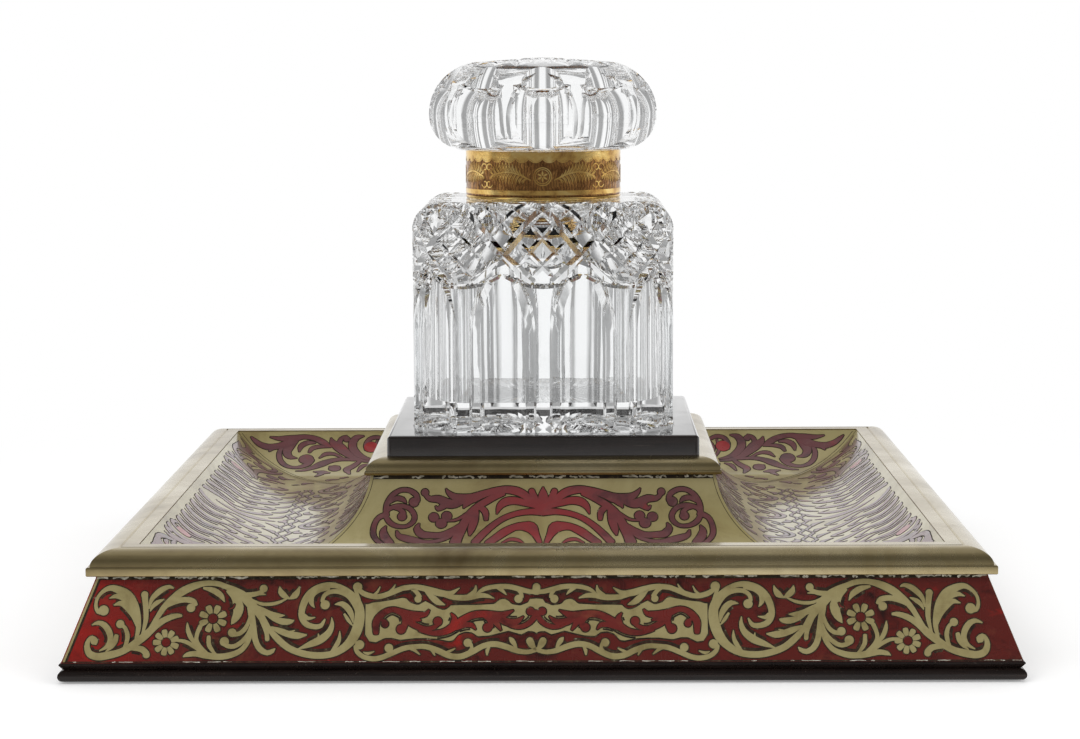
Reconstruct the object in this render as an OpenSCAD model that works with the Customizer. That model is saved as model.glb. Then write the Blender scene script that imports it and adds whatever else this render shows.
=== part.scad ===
// Square desk inkstand: a coved pen tray runs round a central pedestal that carries a hinged cut-glass ink bottle.
// Millimetres, +Z up, front toward -Y. The origin is the centre of the underside.
// Profiles of the stand are drawn as (t, z): t is the distance outward from the centre line.

/* [Stand] */
// Overall width of the square stand over its base mouldings
stand_w = 280; // [255:1:340]
// Thickness of the cloth pad under the stand
baize_t = 0.5; // [0.3:0.1:1.2]
// Distance from the stand's edge to the cloth pad's edge
baize_inset = 4; // [3:0.5:10]
// Thickness of the bottom board
board_t = 5.6; // [4.6:0.1:8]
// Horizontal thickness of the marquetry sheets
veneer_t = 1.2; // [0.8:0.1:1.8]

/* [Base moulding] */
// Width of the base moulding from its outer edge to the bottom board
base_mould_w = 12; // [11:0.5:16]
// Height of the moulding's narrow upper tier
upper_tier_h = 2.2; // [1.5:0.1:3]
// Step from the rounded lower tier back to the upper tier
upper_tier_step = 0.4; // [0.2:0.1:1]
// Radius of the upper tier's top edge
upper_edge_r = 0.6; // [0.3:0.1:1.2]

/* [Sloping sides] */
// Height of the sloping sides
side_h = 24; // [18:0.5:32]
// Horizontal lean of the sloping sides over their height
side_lean = 9.4; // [5:0.2:13]

/* [Brass rim] */
// Overhang of the rim beyond the top of the sloping side
rim_over = 2.8; // [1.5:0.1:4]
// Overall width of the rim moulding
rim_w = 13.5; // [12:0.5:16]
// Height of the rim moulding
rim_h = 7.2; // [6:0.1:9]
// Height of the upright bead along the rim's lower edge
rim_bead_h = 2.7; // [1.5:0.1:3.5]
// Step from the rim's bead in to its rounded shoulder
rim_bead_step = 1; // [0.5:0.1:1.5]
// Width of the rim's flat inner band
rim_band_w = 5.2; // [4:0.1:7]
// Thickness of the rim's flat inner band
rim_band_t = 1.8; // [1.2:0.1:2.6]
// Depth of the ogee groove line on top of the rim
rim_groove = 0.4; // [0.2:0.1:0.8]

/* [Pen tray] */
// Depth of the tray's floor below the rim
tray_depth = 14.6; // [12:0.2:18]
// Drop from the rim's top to the tray's outer edge
tray_lip_drop = 0.4; // [0.2:0.1:1]
// Width of the level strip along the tray's floor
tray_floor_w = 4; // [2:0.5:8]
// Horizontal run of the curve that rises from the floor to the pedestal
flare_run = 29.1; // [26:0.5:34]

/* [Pedestal] */
// Width of the pedestal at its top
pedestal_w = 109.8; // [100:1:120]
// Height of the pedestal's top above the tray's floor
pedestal_rise = 24.9; // [20:0.5:28]
// Wall of coved timber left between the pedestal's face and its core block
pedestal_wall = 9; // [7:0.5:14]
// Overhang of the pedestal's brass moulding
ped_mould_over = 2; // [1:0.1:4]
// Height of the pedestal's brass moulding
ped_mould_h = 5.2; // [4:0.1:7]
// How far the pedestal's brass moulding runs in under the ebonised block
mould_under = 4.2; // [3:0.1:6]
// Height of the bead along the pedestal moulding's lower edge
ped_bead_h = 1.7; // [1:0.1:2.5]

/* [Bottle plinth] */
// Width of the ebonised block under the bottle
plinth_w = 100.2; // [97:0.5:106]
// Height of the ebonised block
plinth_h = 6.5; // [4:0.1:12]
// Radius of the block's top edge and upright corners
plinth_edge_r = 1.5; // [0.5:0.1:2.5]
// Depth of the bottle's seat in the block
seat_depth = 1.2; // [0.6:0.1:2.5]
// Clearance round the bottle in its seat
seat_clear = 0.4; // [0.3:0.1:1]

/* [Glass bottle] */
// Width of the square bottle
bottle_w = 85.2; // [80:0.5:90]
// Height of the bottle's body up to the flat under the neck ring
bottle_h = 74.9; // [66:1:90]
// Radius of the bottle's upright corners
bottle_corner_r = 17; // [15:0.5:19]
// Radius of the bottle's rounded shoulder
shoulder_r = 9.4; // [7:0.2:11]
// Thickness of the bottle's walls
glass_wall = 9.5; // [8.5:0.5:11]
// Slope of the roof of the bottle's hollow, in degrees
roof_angle = 43; // [38:1:46]
// Thickness of the bottle's solid glass foot
glass_foot = 10; // [6:0.5:16]
// Outer radius of the neck
neck_r = 23; // [22:0.2:24]
// Bore radius of the neck
mouth_r = 19; // [16:0.5:20]
// Height of the neck above the body
neck_h = 4.5; // [3.5:0.1:5.5]
// Height of the lancet flutes from the foot to their points
lancet_h = 57; // [50:1:60]
// Width of a lancet flute
lancet_w = 20.6; // [17:0.2:22]
// Height of the pointed part of a lancet flute
lancet_arch_h = 26; // [20:1:32]
// Depth of the lancet flutes on the flat faces
lancet_depth = 2.2; // [1.2:0.1:2.6]
// Depth of the lancet flutes on the rounded corners
corner_lancet_depth = 4.6; // [4.2:0.1:5.4]

/* [Neck ring and lid band] */
// Outer radius of the brass ring round the neck
ring_r = 25.9; // [25.8:0.1:27]
// Height of the brass ring round the neck
ring_h = 1.4; // [1.2:0.1:2.2]
// Thickness of the sleeve that lines the neck inside the lid band
sleeve_t = 0.7; // [0.5:0.1:0.9]
// Height of the lid's engraved brass band
band_h = 14.6; // [11:0.2:18]
// Outer radius of the lid's brass band
band_r = 25.8; // [25.6:0.1:26.4]
// Wall of the lid's brass band
band_wall = 1; // [0.8:0.1:1.2]
// Gap between cemented brass and glass
cement_gap = 0.05; // [0.03:0.01:0.1]

/* [Hinge] */
// Gap that keeps the hinge barrel clear of the lid band and the bottle
barrel_gap = 0.2; // [0.15:0.05:0.4]
// Radius of the hinge knuckles
knuckle_r = 1.7; // [1.6:0.1:2]
// Length of the lid's middle knuckle
lid_knuckle_l = 8.8; // [6:0.2:11]
// Length of each of the ring's outer knuckles
ring_knuckle_l = 4.6; // [3.5:0.1:6]
// End gap between neighbouring knuckles
knuckle_gap = 0.2; // [0.1:0.05:0.4]
// Radius of the hinge pin
pin_r = 0.8; // [0.6:0.05:1]
// Running clearance of the pin in the knuckles
pin_clear = 0.05; // [0.02:0.01:0.1]
// Thickness of the pin's domed heads
pin_head_t = 0.6; // [0.4:0.1:1]

/* [Glass lid] */
// Largest radius of the lid
lid_r = 38.1; // [35:0.2:40]
// Height of the lid above its band
lid_h = 30.8; // [26:0.2:36]
// Height of the lid's widest line above the band
lid_belly_h = 11.8; // [10:0.2:14]
// Radius of the lid's upper curve
lid_crown_r = 17.4; // [15:0.2:18]
// Number of arched flutes round the lid
lid_flutes = 10; // [8:1:12]
// Radius of the wheel cut that makes a flute
flute_cut_r = 14; // [11:0.5:15]
// Depth of the lid's flutes
flute_depth = 3.9; // [2:0.1:4.2]
// Height of the flutes' pointed tips above the band
flute_tip_h = 27.5; // [24:0.1:28.5]
// Length of the lid's boss inside the band
boss_h = 6; // [4:0.5:8]
// Radius of the hollow under the lid
hollow_r = 19; // [15:0.5:21]
// Depth of the hollow under the lid
hollow_h = 7; // [4:0.5:9]

/* [Fixings] */
// Radius of the bottom board's screws
screw_r = 1.75; // [1.5:0.05:2]
// Length of the bottom board's screws
screw_l = 14; // [12:0.5:16]
// Radius of the screws' countersunk heads
screw_head_r = 3.4; // [3:0.1:4]
// Clearance round the screws
screw_clear = 0.05; // [0.02:0.01:0.1]

/* [Hidden] */
SIDES = ["front", "right", "back", "left"];
SIDE_PIECES = ["base_moulding", "side_rail", "side_panel", "rim_moulding", "cove_rail", "tray_sheet",
    "pedestal_moulding"];

// Steps of long arcs and of small beads, facets of large and of small circles
arc_steps = 14;
bead_steps = 4;
fine = 96;
small = 48;

// How far a cut runs past the face it opens
past = 1;
// How far in past a flute's tip its wheel goes on
flute_tip_spare = 8;
// Margin by which a lancet's outline is wider than its wheel cut, whose own edge then bounds the flute
lancet_margin = 0.4;

// Levels of the stand, from the table up
base_top = baize_t + board_t;
side_top = base_top + side_h;
crest_z = side_top + rim_h;
lip_z = crest_z - tray_lip_drop;
floor_z = crest_z - tray_depth;
pedestal_top = floor_z + pedestal_rise;
plinth_z = pedestal_top + ped_mould_h;
plinth_top = plinth_z + plinth_h;

// Distances outward from the stand's centre
edge_t = stand_w / 2;
base_back_t = edge_t - base_mould_w;
side_foot_t = edge_t - upper_tier_step - upper_edge_r;
side_head_t = side_foot_t - side_lean;
rim_edge_t = side_head_t + rim_over;
rim_in_t = rim_edge_t - rim_w;
pedestal_t = pedestal_w / 2;
core_t = pedestal_t - pedestal_wall;
flare_foot_t = pedestal_t + flare_run;
sweep_foot_t = flare_foot_t + tray_floor_w;
mould_in_t = plinth_w / 2 - mould_under;

// Radius of the arc that starts level and climbs a given rise over a given run
function arc_radius(run, rise) = (run * run + rise * rise) / (2 * rise);

sweep_run = rim_in_t - sweep_foot_t;
sweep_r = arc_radius(sweep_run, lip_z - floor_z);
flare_r = arc_radius(flare_run, pedestal_rise);

// Levels of the bottle and lid, from the seat up
bottle_z = plinth_top - seat_depth;
shoulder_top = bottle_z + bottle_h;
split_z = shoulder_top + ring_h;
lid_z = split_z + band_h;
bottle_t = bottle_w / 2;
sleeve_in_r = neck_r + cement_gap;
sleeve_out_r = sleeve_in_r + sleeve_t;
band_in_r = band_r - band_wall;

// The hinge axis stands just behind the band and just above the split line
hinge_y = band_r + knuckle_r + barrel_gap;
hinge_z = shoulder_top + knuckle_r + barrel_gap;
barrel_l = lid_knuckle_l + 2 * (knuckle_gap + ring_knuckle_l);

// Points of an arc about a centre, from one angle to another
function arc(centre, r, from, to, steps = arc_steps) = [
    for (i = [0:steps]) let (a = from + (to - from) * i / steps) centre + r * [cos(a), sin(a)]
];

// Cuts a straight length of side piece to its two mitres and turns it to its side
module on_side(index) {
    reach = edge_t + past;
    rotate([0, 0, 90 * index])
        intersection() {
            translate([-reach, 0, 0])
                rotate([90, 0, 90])
                    linear_extrude(2 * reach)
                        mirror([1, 0])
                            children();
            linear_extrude(plinth_top)
                polygon([[0, 0], [-reach, -reach], [reach, -reach]]);
        }
}

// Square block with rounded upright corners
module rounded_block(w, r, h) {
    inner = w / 2 - r;
    linear_extrude(h) {
        square([w, 2 * inner], center = true);
        square([2 * inner, w], center = true);
        for (x = [-inner, inner])
            for (y = [-inner, inner])
                translate([x, y])
                    circle(r = r, $fn = fine);
    }
}

// Upright outline of a block with a flat foot and two rounded top corners
module round_topped_outline(w, h, r) {
    inner = w / 2 - r;
    translate([-w / 2, 0])
        square([w, h - r]);
    translate([-inner, 0])
        square([2 * inner, h]);
    for (x = [-inner, inner])
        translate([x, h - r])
            circle(r = r, $fn = fine);
}

// Rounded lower tier below a narrow upper tier with a softened edge
module base_moulding_profile() {
    lower_h = board_t - upper_tier_h;
    nose_r = lower_h / 2;
    upper_t = edge_t - upper_tier_step - upper_edge_r;
    polygon(concat(
        [[base_back_t, baize_t]],
        arc([edge_t - nose_r, baize_t + nose_r], nose_r, -90, 90),
        arc([upper_t, base_top - upper_edge_r], upper_edge_r, 0, 90, bead_steps),
        [[base_back_t, base_top]]
    ));
}

module side_panel_profile() {
    polygon([
        [side_foot_t - veneer_t, base_top], [side_foot_t, base_top],
        [side_head_t, side_top], [side_head_t - veneer_t, side_top]
    ]);
}

// Sloping timber behind the marquetry, rebated on top for the rim's two thicknesses
module side_rail_profile() {
    rebate_t = rim_in_t + rim_band_w;
    rebate_z = crest_z - rim_band_t;
    polygon([
        [rim_in_t, base_top], [side_foot_t - veneer_t, base_top], [side_head_t - veneer_t, side_top],
        [rebate_t, side_top], [rebate_t, rebate_z], [rim_in_t, rebate_z]
    ]);
}

// Upright bead, flattened round shoulder, groove line and thin flat inner band
module rim_profile() {
    band_t = rim_in_t + rim_band_w;
    shoulder_t = rim_edge_t - rim_bead_step;
    shoulder_z = side_top + rim_bead_h;
    bead_r = rim_bead_step / 2;
    run = crest_z - shoulder_z;
    reach = shoulder_t - band_t;
    polygon(concat(
        [[band_t, crest_z - rim_band_t], [band_t, side_top]],
        arc([rim_edge_t - bead_r, side_top + bead_r], bead_r, -90, 0, bead_steps),
        arc([rim_edge_t - bead_r, shoulder_z - bead_r], bead_r, 0, 90, bead_steps),
        [for (i = [0:arc_steps]) let (a = 90 * i / arc_steps)
            [band_t + reach * cos(a), shoulder_z + run * sin(a)]],
        [[band_t - rim_groove, crest_z - rim_groove], [band_t - 2 * rim_groove, crest_z],
            [rim_in_t, crest_z], [rim_in_t, crest_z - rim_band_t]]
    ));
}

// The tray's curve, from the pedestal's top edge down to the floor and out to the rim, sunk by an offset
function cove_line(sink) =
    let (
        flare_a = asin((pedestal_rise - flare_r) / (flare_r + sink)),
        sweep_a = acos(sweep_run / (sweep_r + sink))
    )
    concat(
        arc([flare_foot_t, floor_z + flare_r], flare_r + sink, 180 - flare_a, 270, 2 * arc_steps),
        arc([sweep_foot_t, floor_z + sweep_r], sweep_r + sink, 270, 360 - sweep_a, 2 * arc_steps)
    );

function reversed(points) = [for (i = [len(points) - 1:-1:0]) points[i]];

module tray_sheet_profile() {
    polygon(concat(cove_line(0), reversed(cove_line(veneer_t))));
}

module cove_rail_profile() {
    polygon(concat([[core_t, base_top], [core_t, pedestal_top]], cove_line(veneer_t), [[rim_in_t, base_top]]));
}

// Bead below a round shoulder that runs in to the block
module pedestal_moulding_profile() {
    outer_t = pedestal_t + ped_mould_over;
    top_t = plinth_w / 2;
    bead_r = ped_bead_h / 2;
    shoulder_z = pedestal_top + ped_bead_h;
    shoulder_t = outer_t - bead_r / 2;
    polygon(concat(
        [[mould_in_t, pedestal_top]],
        arc([outer_t - bead_r, pedestal_top + bead_r], bead_r, -90, 60, bead_steps),
        [for (i = [0:arc_steps]) let (a = 90 * i / arc_steps)
            [top_t + (shoulder_t - top_t) * cos(a), shoulder_z + (plinth_z - shoulder_z) * sin(a)]],
        [[mould_in_t, plinth_z]]
    ));
}

module baize_pad() {
    color("darkgreen")
        translate([0, 0, baize_t / 2])
            cube([stand_w - 2 * baize_inset, stand_w - 2 * baize_inset, baize_t], center = true);
}

// Places two fixings under each side, up through the bottom board into the side rail
module at_screws() {
    screw_t = (rim_in_t + base_back_t) / 2;
    for (quarter = [0:3])
        rotate([0, 0, 90 * quarter])
            for (end = [-1, 1])
                translate([end * screw_t / 2, -screw_t, baize_t])
                    children();
}

// Countersunk screw standing head down
module screw_shape(grow) {
    rotate_extrude($fn = small)
        polygon([
            [0, 0], [screw_head_r + grow, 0], [screw_r + grow, screw_head_r - screw_r],
            [screw_r + grow, screw_l - screw_r], [0, screw_l + grow]
        ]);
}

module screw_holes() {
    at_screws()
        screw_shape(screw_clear);
}

module board_screws() {
    color("dimgray")
        at_screws()
            screw_shape(0);
}

module bottom_board() {
    color("peru")
        difference() {
            translate([0, 0, baize_t + board_t / 2])
                cube([2 * base_back_t, 2 * base_back_t, board_t], center = true);
            screw_holes();
        }
}

module base_moulding(index) {
    color("#1a1413") on_side(index) base_moulding_profile();
}

module side_rail(index) {
    color("burlywood")
        difference() {
            on_side(index) side_rail_profile();
            screw_holes();
        }
}

module side_panel(index) {
    color("firebrick") on_side(index) side_panel_profile();
}

module rim_moulding(index) {
    color("darkkhaki") on_side(index) rim_profile();
}

module cove_rail(index) {
    color("burlywood") on_side(index) cove_rail_profile();
}

module tray_sheet(index) {
    color("goldenrod") on_side(index) tray_sheet_profile();
}

module pedestal_moulding(index) {
    color("darkkhaki") on_side(index) pedestal_moulding_profile();
}

// Square block under the pedestal's coved timbers, stepped to fill the frame of its brass moulding
module pedestal_core() {
    color("burlywood") {
        translate([-core_t, -core_t, base_top])
            cube([2 * core_t, 2 * core_t, pedestal_top - base_top]);
        translate([-mould_in_t, -mould_in_t, pedestal_top])
            cube([2 * mould_in_t, 2 * mould_in_t, ped_mould_h]);
    }
}

// Ebonised block with softened edges and a shallow seat for the bottle
module bottle_plinth() {
    color("#1a1413")
        translate([0, 0, plinth_z])
            difference() {
                intersection() {
                    rounded_block(plinth_w, plinth_edge_r, plinth_h);
                    for_both_ways(plinth_w)
                        round_topped_outline(plinth_w, plinth_h, plinth_edge_r);
                }
                translate([0, 0, plinth_h - seat_depth])
                    rounded_block(bottle_w + 2 * seat_clear, bottle_corner_r + seat_clear, seat_depth + past);
            }
}

// The solid shared by one upright outline run along X and the same outline run along Y
module for_both_ways(w) {
    intersection_for(turn = [0, 90])
        rotate([0, 0, turn])
            translate([0, w / 2 + past, 0])
                rotate([90, 0, 0])
                    linear_extrude(w + 2 * past)
                        children();
}

// Outline of a pointed arch standing on the x axis, a little wider than the wheel cut that it heads
module lancet_outline() {
    half = lancet_w / 2 + lancet_margin;
    arch_r = (half * half + lancet_arch_h * lancet_arch_h) / (2 * half);
    spring = lancet_h - lancet_arch_h;
    translate([lancet_margin / 2 - half, -past])
        square([2 * half - lancet_margin, spring + past]);
    intersection_for(side = [-1, 1])
        translate([side * (half - arch_r), spring])
            circle(r = arch_r, $fn = fine);
}

// Hollow flute with a pointed head, sunk below a face that looks toward -Y. Where the face is round, the flute's edges
// lie an edge drop below its crown.
module lancet_cut(face, depth, edge_drop) {
    half = lancet_w / 2;
    sag = depth - edge_drop;
    cut_r = (half * half + sag * sag) / (2 * sag);
    intersection() {
        translate([0, -face - cut_r + depth, -past])
            cylinder(r = cut_r, h = lancet_h + 2 * past, $fn = fine);
        rotate([90, 0, 0])
            linear_extrude(face + cut_r)
                lancet_outline();
    }
}

// Three flutes to a quarter turn, evenly spaced: two on each flat face and one on each rounded corner
module lancet_cuts() {
    corner_centre = bottle_t - bottle_corner_r;
    flute_pitch = (2 * corner_centre + PI / 2 * bottle_corner_r) / 3;
    corner_drop = bottle_corner_r - sqrt(pow(bottle_corner_r, 2) - pow(lancet_w / 2, 2));
    for (quarter = [0:3])
        rotate([0, 0, 90 * quarter]) {
            for (side = [-1, 1])
                translate([side * flute_pitch / 2, 0, 0])
                    lancet_cut(bottle_t, lancet_depth, 0);
            rotate([0, 0, 45])
                lancet_cut(corner_centre * sqrt(2) + bottle_corner_r, corner_lancet_depth, corner_drop);
        }
}

module bottle_outer() {
    intersection() {
        rounded_block(bottle_w, bottle_corner_r, bottle_h);
        for_both_ways(bottle_w)
            round_topped_outline(bottle_w, bottle_h, shoulder_r);
    }
}

// Hollow for the ink under a conical roof, open through the neck
module bottle_hollow() {
    hollow_w = bottle_w - 2 * glass_wall;
    roof_apex = bottle_h - glass_wall / 2 + mouth_r * tan(roof_angle);
    roof_foot = roof_apex - bottle_w * tan(roof_angle);
    translate([0, 0, bottle_h / 2])
        cylinder(r = mouth_r, h = bottle_h, $fn = fine);
    intersection() {
        translate([0, 0, glass_foot])
            rounded_block(hollow_w, bottle_corner_r - glass_wall / 2, bottle_h);
        rotate_extrude($fn = fine)
            polygon([[0, -bottle_w], [bottle_w, -bottle_w], [bottle_w, roof_foot], [0, roof_apex]]);
    }
}

module glass_bottle() {
    color("lightcyan", 0.5)
        translate([0, 0, bottle_z])
            difference() {
                union() {
                    difference() {
                        bottle_outer();
                        lancet_cuts();
                    }
                    cylinder(r = neck_r, h = bottle_h + neck_h, $fn = fine);
                }
                bottle_hollow();
            }
}

// Bored barrel along X at the hinge, with a web that joins it to the brass in front of it
module knuckle(x, length, web_from_y, web_z, web_top) {
    difference() {
        union() {
            translate([x - length / 2, hinge_y, hinge_z])
                rotate([0, 90, 0])
                    cylinder(r = knuckle_r, h = length, $fn = small);
            translate([x - length / 2, web_from_y, web_z])
                cube([length, hinge_y - web_from_y, web_top - web_z]);
        }
        translate([x - length, hinge_y, hinge_z])
            rotate([0, 90, 0])
                cylinder(r = pin_r + pin_clear, h = 2 * length, $fn = small);
    }
}

// Beaded ring with the upright sleeve that lines the neck, and the two outer knuckles
module neck_ring() {
    outer_knuckle_x = (lid_knuckle_l + ring_knuckle_l) / 2 + knuckle_gap;
    bead_r = ring_h / 2;
    color("goldenrod") {
        translate([0, 0, shoulder_top])
            rotate_extrude($fn = fine)
                polygon(concat(
                    [[sleeve_in_r, 0]],
                    arc([ring_r - bead_r, bead_r], bead_r, -90, 90, 2 * bead_steps),
                    [[sleeve_out_r, ring_h], [sleeve_out_r, neck_h], [sleeve_in_r, neck_h]]
                ));
        for (side = [-1, 1])
            knuckle(side * outer_knuckle_x, ring_knuckle_l, ring_r - 2 * ring_h, shoulder_top, split_z);
    }
}

module hinge_pin() {
    head_r = (pin_r + knuckle_r) / 2;
    color("goldenrod")
        translate([-barrel_l / 2, hinge_y, hinge_z])
            rotate([0, 90, 0]) {
                cylinder(r = pin_r, h = barrel_l, $fn = small);
                for (z = [-pin_head_t, barrel_l])
                    translate([0, 0, z])
                        cylinder(r = head_r, h = pin_head_t, $fn = small);
            }
}

// Engraved brass tube cemented round the lid's boss, with the middle knuckle
module lid_band() {
    web_lift = 0.1;
    color("goldenrod") {
        translate([0, 0, split_z])
            difference() {
                cylinder(r = band_r, h = band_h, $fn = fine);
                translate([0, 0, -past])
                    cylinder(r = band_in_r, h = band_h + 2 * past, $fn = fine);
            }
        knuckle(0, lid_knuckle_l, band_in_r + band_wall / 4, split_z + web_lift, hinge_z + knuckle_r);
    }
}

// Quarter of a disc, upper or lower right, about a centre
module quarter_disc(centre, r, upper) {
    translate(centre)
        intersection() {
            circle(r = r, $fn = fine);
            translate([0, upper ? 0 : -r])
                square(r);
        }
}

// Wheel cut of one flute, swept along an arc over the lid's side. It is deepest at the widest line and fades out to a
// point on the crown and under the belly
module flute_cutter() {
    bed_r = lid_r - flute_depth;
    rise = flute_tip_h - lid_belly_h;
    tip_r = lid_r - lid_crown_r + sqrt(lid_crown_r * lid_crown_r - rise * rise);
    run = bed_r - tip_r;
    path_r = (rise * rise + run * run) / (2 * run);
    intersection() {
        translate([bed_r - path_r, 0, lid_belly_h])
            rotate([90, 0, 0])
                rotate_extrude($fn = fine)
                    translate([path_r + flute_cut_r, 0])
                        circle(r = flute_cut_r, $fn = fine);
        translate([tip_r - flute_tip_spare, -flute_cut_r - past, -past])
            cube([lid_r - tip_r + flute_tip_spare + past, 2 * (flute_cut_r + past), lid_h + 2 * past]);
    }
}

// Round glass lid: arched flutes between ribs, a low dome, and a hollow boss held in the band
module glass_lid() {
    belly_in = lid_r - lid_belly_h;
    crown_in = lid_r - lid_crown_r;
    boss_r = band_in_r - cement_gap;
    crown_top = lid_belly_h + lid_crown_r;
    color("lightcyan", 0.5)
        translate([0, 0, lid_z])
            difference() {
                rotate_extrude($fn = fine) {
                    polygon([
                        [0, -boss_h], [boss_r, -boss_h], [boss_r, 0], [belly_in, 0], [belly_in, lid_belly_h],
                        [crown_in, lid_belly_h], [crown_in, crown_top], [0, lid_h]
                    ]);
                    quarter_disc([belly_in, lid_belly_h], lid_belly_h, false);
                    quarter_disc([crown_in, lid_belly_h], lid_crown_r, true);
                }
                for (i = [0:lid_flutes - 1])
                    rotate([0, 0, 360 * i / lid_flutes - 90])
                        flute_cutter();
                translate([0, 0, -boss_h - past])
                    cylinder(r = hollow_r, h = hollow_h + past, $fn = fine);
            }
}

baize_pad();
bottom_board();
board_screws();
pedestal_core();
bottle_plinth();
glass_bottle();
neck_ring();
hinge_pin();
lid_band();
glass_lid();
for (i = [0:3]) {
    base_moulding(i);
    side_rail(i);
    side_panel(i);
    rim_moulding(i);
    cove_rail(i);
    tray_sheet(i);
    pedestal_moulding(i);
}
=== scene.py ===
"""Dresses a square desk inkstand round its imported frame.

The stand has sloping tortoiseshell sides let in with brass, worn brass mouldings, a coved pen tray of brass
let in with tortoiseshell, and an ebonised block. The block carries a square cut-glass bottle with a gilt
collar and a hinged, fluted glass lid.

Profiles of the stand are (t, z) in millimetres, where t is the distance outward from its centre line. Each of
the four sides is made as the front one and then turned about the upright axis.
"""

from __future__ import annotations

import logging
import math
import random
from collections.abc import Callable, Iterable
from dataclasses import dataclass, field
from enum import Enum

import bpy
from mathutils import Matrix, Vector
from mathutils.bvhtree import BVHTree

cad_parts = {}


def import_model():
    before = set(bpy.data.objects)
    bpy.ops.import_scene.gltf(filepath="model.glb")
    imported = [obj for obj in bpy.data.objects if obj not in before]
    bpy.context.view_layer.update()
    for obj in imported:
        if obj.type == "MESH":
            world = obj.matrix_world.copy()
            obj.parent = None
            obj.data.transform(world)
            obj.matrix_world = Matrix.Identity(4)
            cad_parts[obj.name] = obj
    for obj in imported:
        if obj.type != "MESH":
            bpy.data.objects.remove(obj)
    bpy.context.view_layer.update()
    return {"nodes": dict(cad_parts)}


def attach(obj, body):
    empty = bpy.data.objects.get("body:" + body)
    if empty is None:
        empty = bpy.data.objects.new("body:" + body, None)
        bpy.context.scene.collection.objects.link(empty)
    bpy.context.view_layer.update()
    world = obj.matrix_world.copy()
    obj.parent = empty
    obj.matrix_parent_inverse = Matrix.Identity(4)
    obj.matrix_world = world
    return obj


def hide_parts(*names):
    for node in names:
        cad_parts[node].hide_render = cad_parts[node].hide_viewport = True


MM = 0.001
PHOTO_WIDTH, PHOTO_HEIGHT = 1080, 739

Spot = tuple[float, float]
Stroke = tuple[str, list[tuple[float, ...]]]
Triple = tuple[float, float, float]
Colour = tuple[float, float, float, float]
Socket = bpy.types.NodeSocket
Value = Socket | float | tuple[float, ...]

log = logging.getLogger("inkstand")


class Side(Enum):
    """The stand's four sides, each by the quarter turns that bring the front one to it."""

    FRONT = 0
    RIGHT = 1
    BACK = 2
    LEFT = 3

    @property
    def label(self) -> str:
        """The side's name as the frame's nodes have it."""
        return self.name.lower()

    @property
    def turn(self) -> Matrix:
        """The turn about the upright axis that brings the front side here."""
        return Matrix.Rotation(math.pi / 2 * self.value, 4, "Z")


class Mark(Enum):
    """What a stroke of the inlay is cut from, by the order of an inlay's finishes."""

    LINE = 0
    BRASS = 1
    SHELL = 2
    RED = 3


@dataclass(frozen=True)
class Crop:
    """An enlarged crop of the photograph: its corner in pixels, and how much larger it is."""

    left: float
    top: float
    zoom: float


# strokes of the inlay

# The points were noted in enlarged crops of the photograph, each as across, down and width in the
# crop's pixels. A Reader turns them into millimetres on the stand. A row starts with the stroke's kind:
# b brass ribbon, bd brass disc, bf brass daisy, s shell ribbon, sd shell disc, sr red disc.

# Left end of the front side. The left half of the side is noted, and the right half mirrors it.
END_CROP = Crop(left=50, top=570, zoom=8.2526)
END_NOTES = """
b 705,590,24 728,480,40 722,370,52 695,280,62 640,205,70 570,165,62 500,150,46 435,180,30 392,235,26
  378,300,28 398,345,34 430,352,30
bd 443,335,84
b 712,380,20 670,300,34 610,235,44 550,215,40 492,232,10
b 715,460,20 690,380,44 640,310,52 590,275,46 530,290,12
bd 580,447,68
b 585,450,30 622,480,32 640,540,36 632,600,34 605,655,20
b 738,600,14 770,500,26 792,400,40 790,300,44 785,230,52 783,200,56
bd 783,203,58
b 818,320,12 838,250,34 875,200,44 930,160,46 985,140,30 1015,150,14
b 828,340,12 850,300,30 890,265,36 940,242,10
b 375,610,20 385,580,26 350,556,30 318,580,34 305,630,44 325,690,56 390,715,60 480,705,64 570,680,56
  650,640,56 730,585,62 800,530,62 860,470,56 930,420,50 1000,390,44 1050,377,36 1083,378,22
bd 360,592,52
b 905,355,14 960,300,34 1030,262,44 1110,245,46 1180,255,46 1205,285,30
bd 1163,312,72
b 350,452,12 400,435,34 450,455,48 488,510,50 498,570,44 470,630,34 410,668,12
b 548,545,38 535,590,44 500,640,34 460,672,10
b 645,655,14 700,648,40 760,655,50 795,690,50
bd 795,700,58
bf 957,597,216
bf 1345,403,232
b 1030,580,20 1110,590,30 1190,630,34 1270,685,36 1340,705,30
b 1240,465,36 1215,520,34 1208,580,34 1240,640,36 1300,690,26
b 1135,438,8 1138,490,34 1165,560,36 1215,625,20
b 1310,552,30 1312,620,38 1350,680,26 1380,700,8
b 1270,150,20 1350,170,48 1410,210,44 1440,262,10
"""

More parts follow.
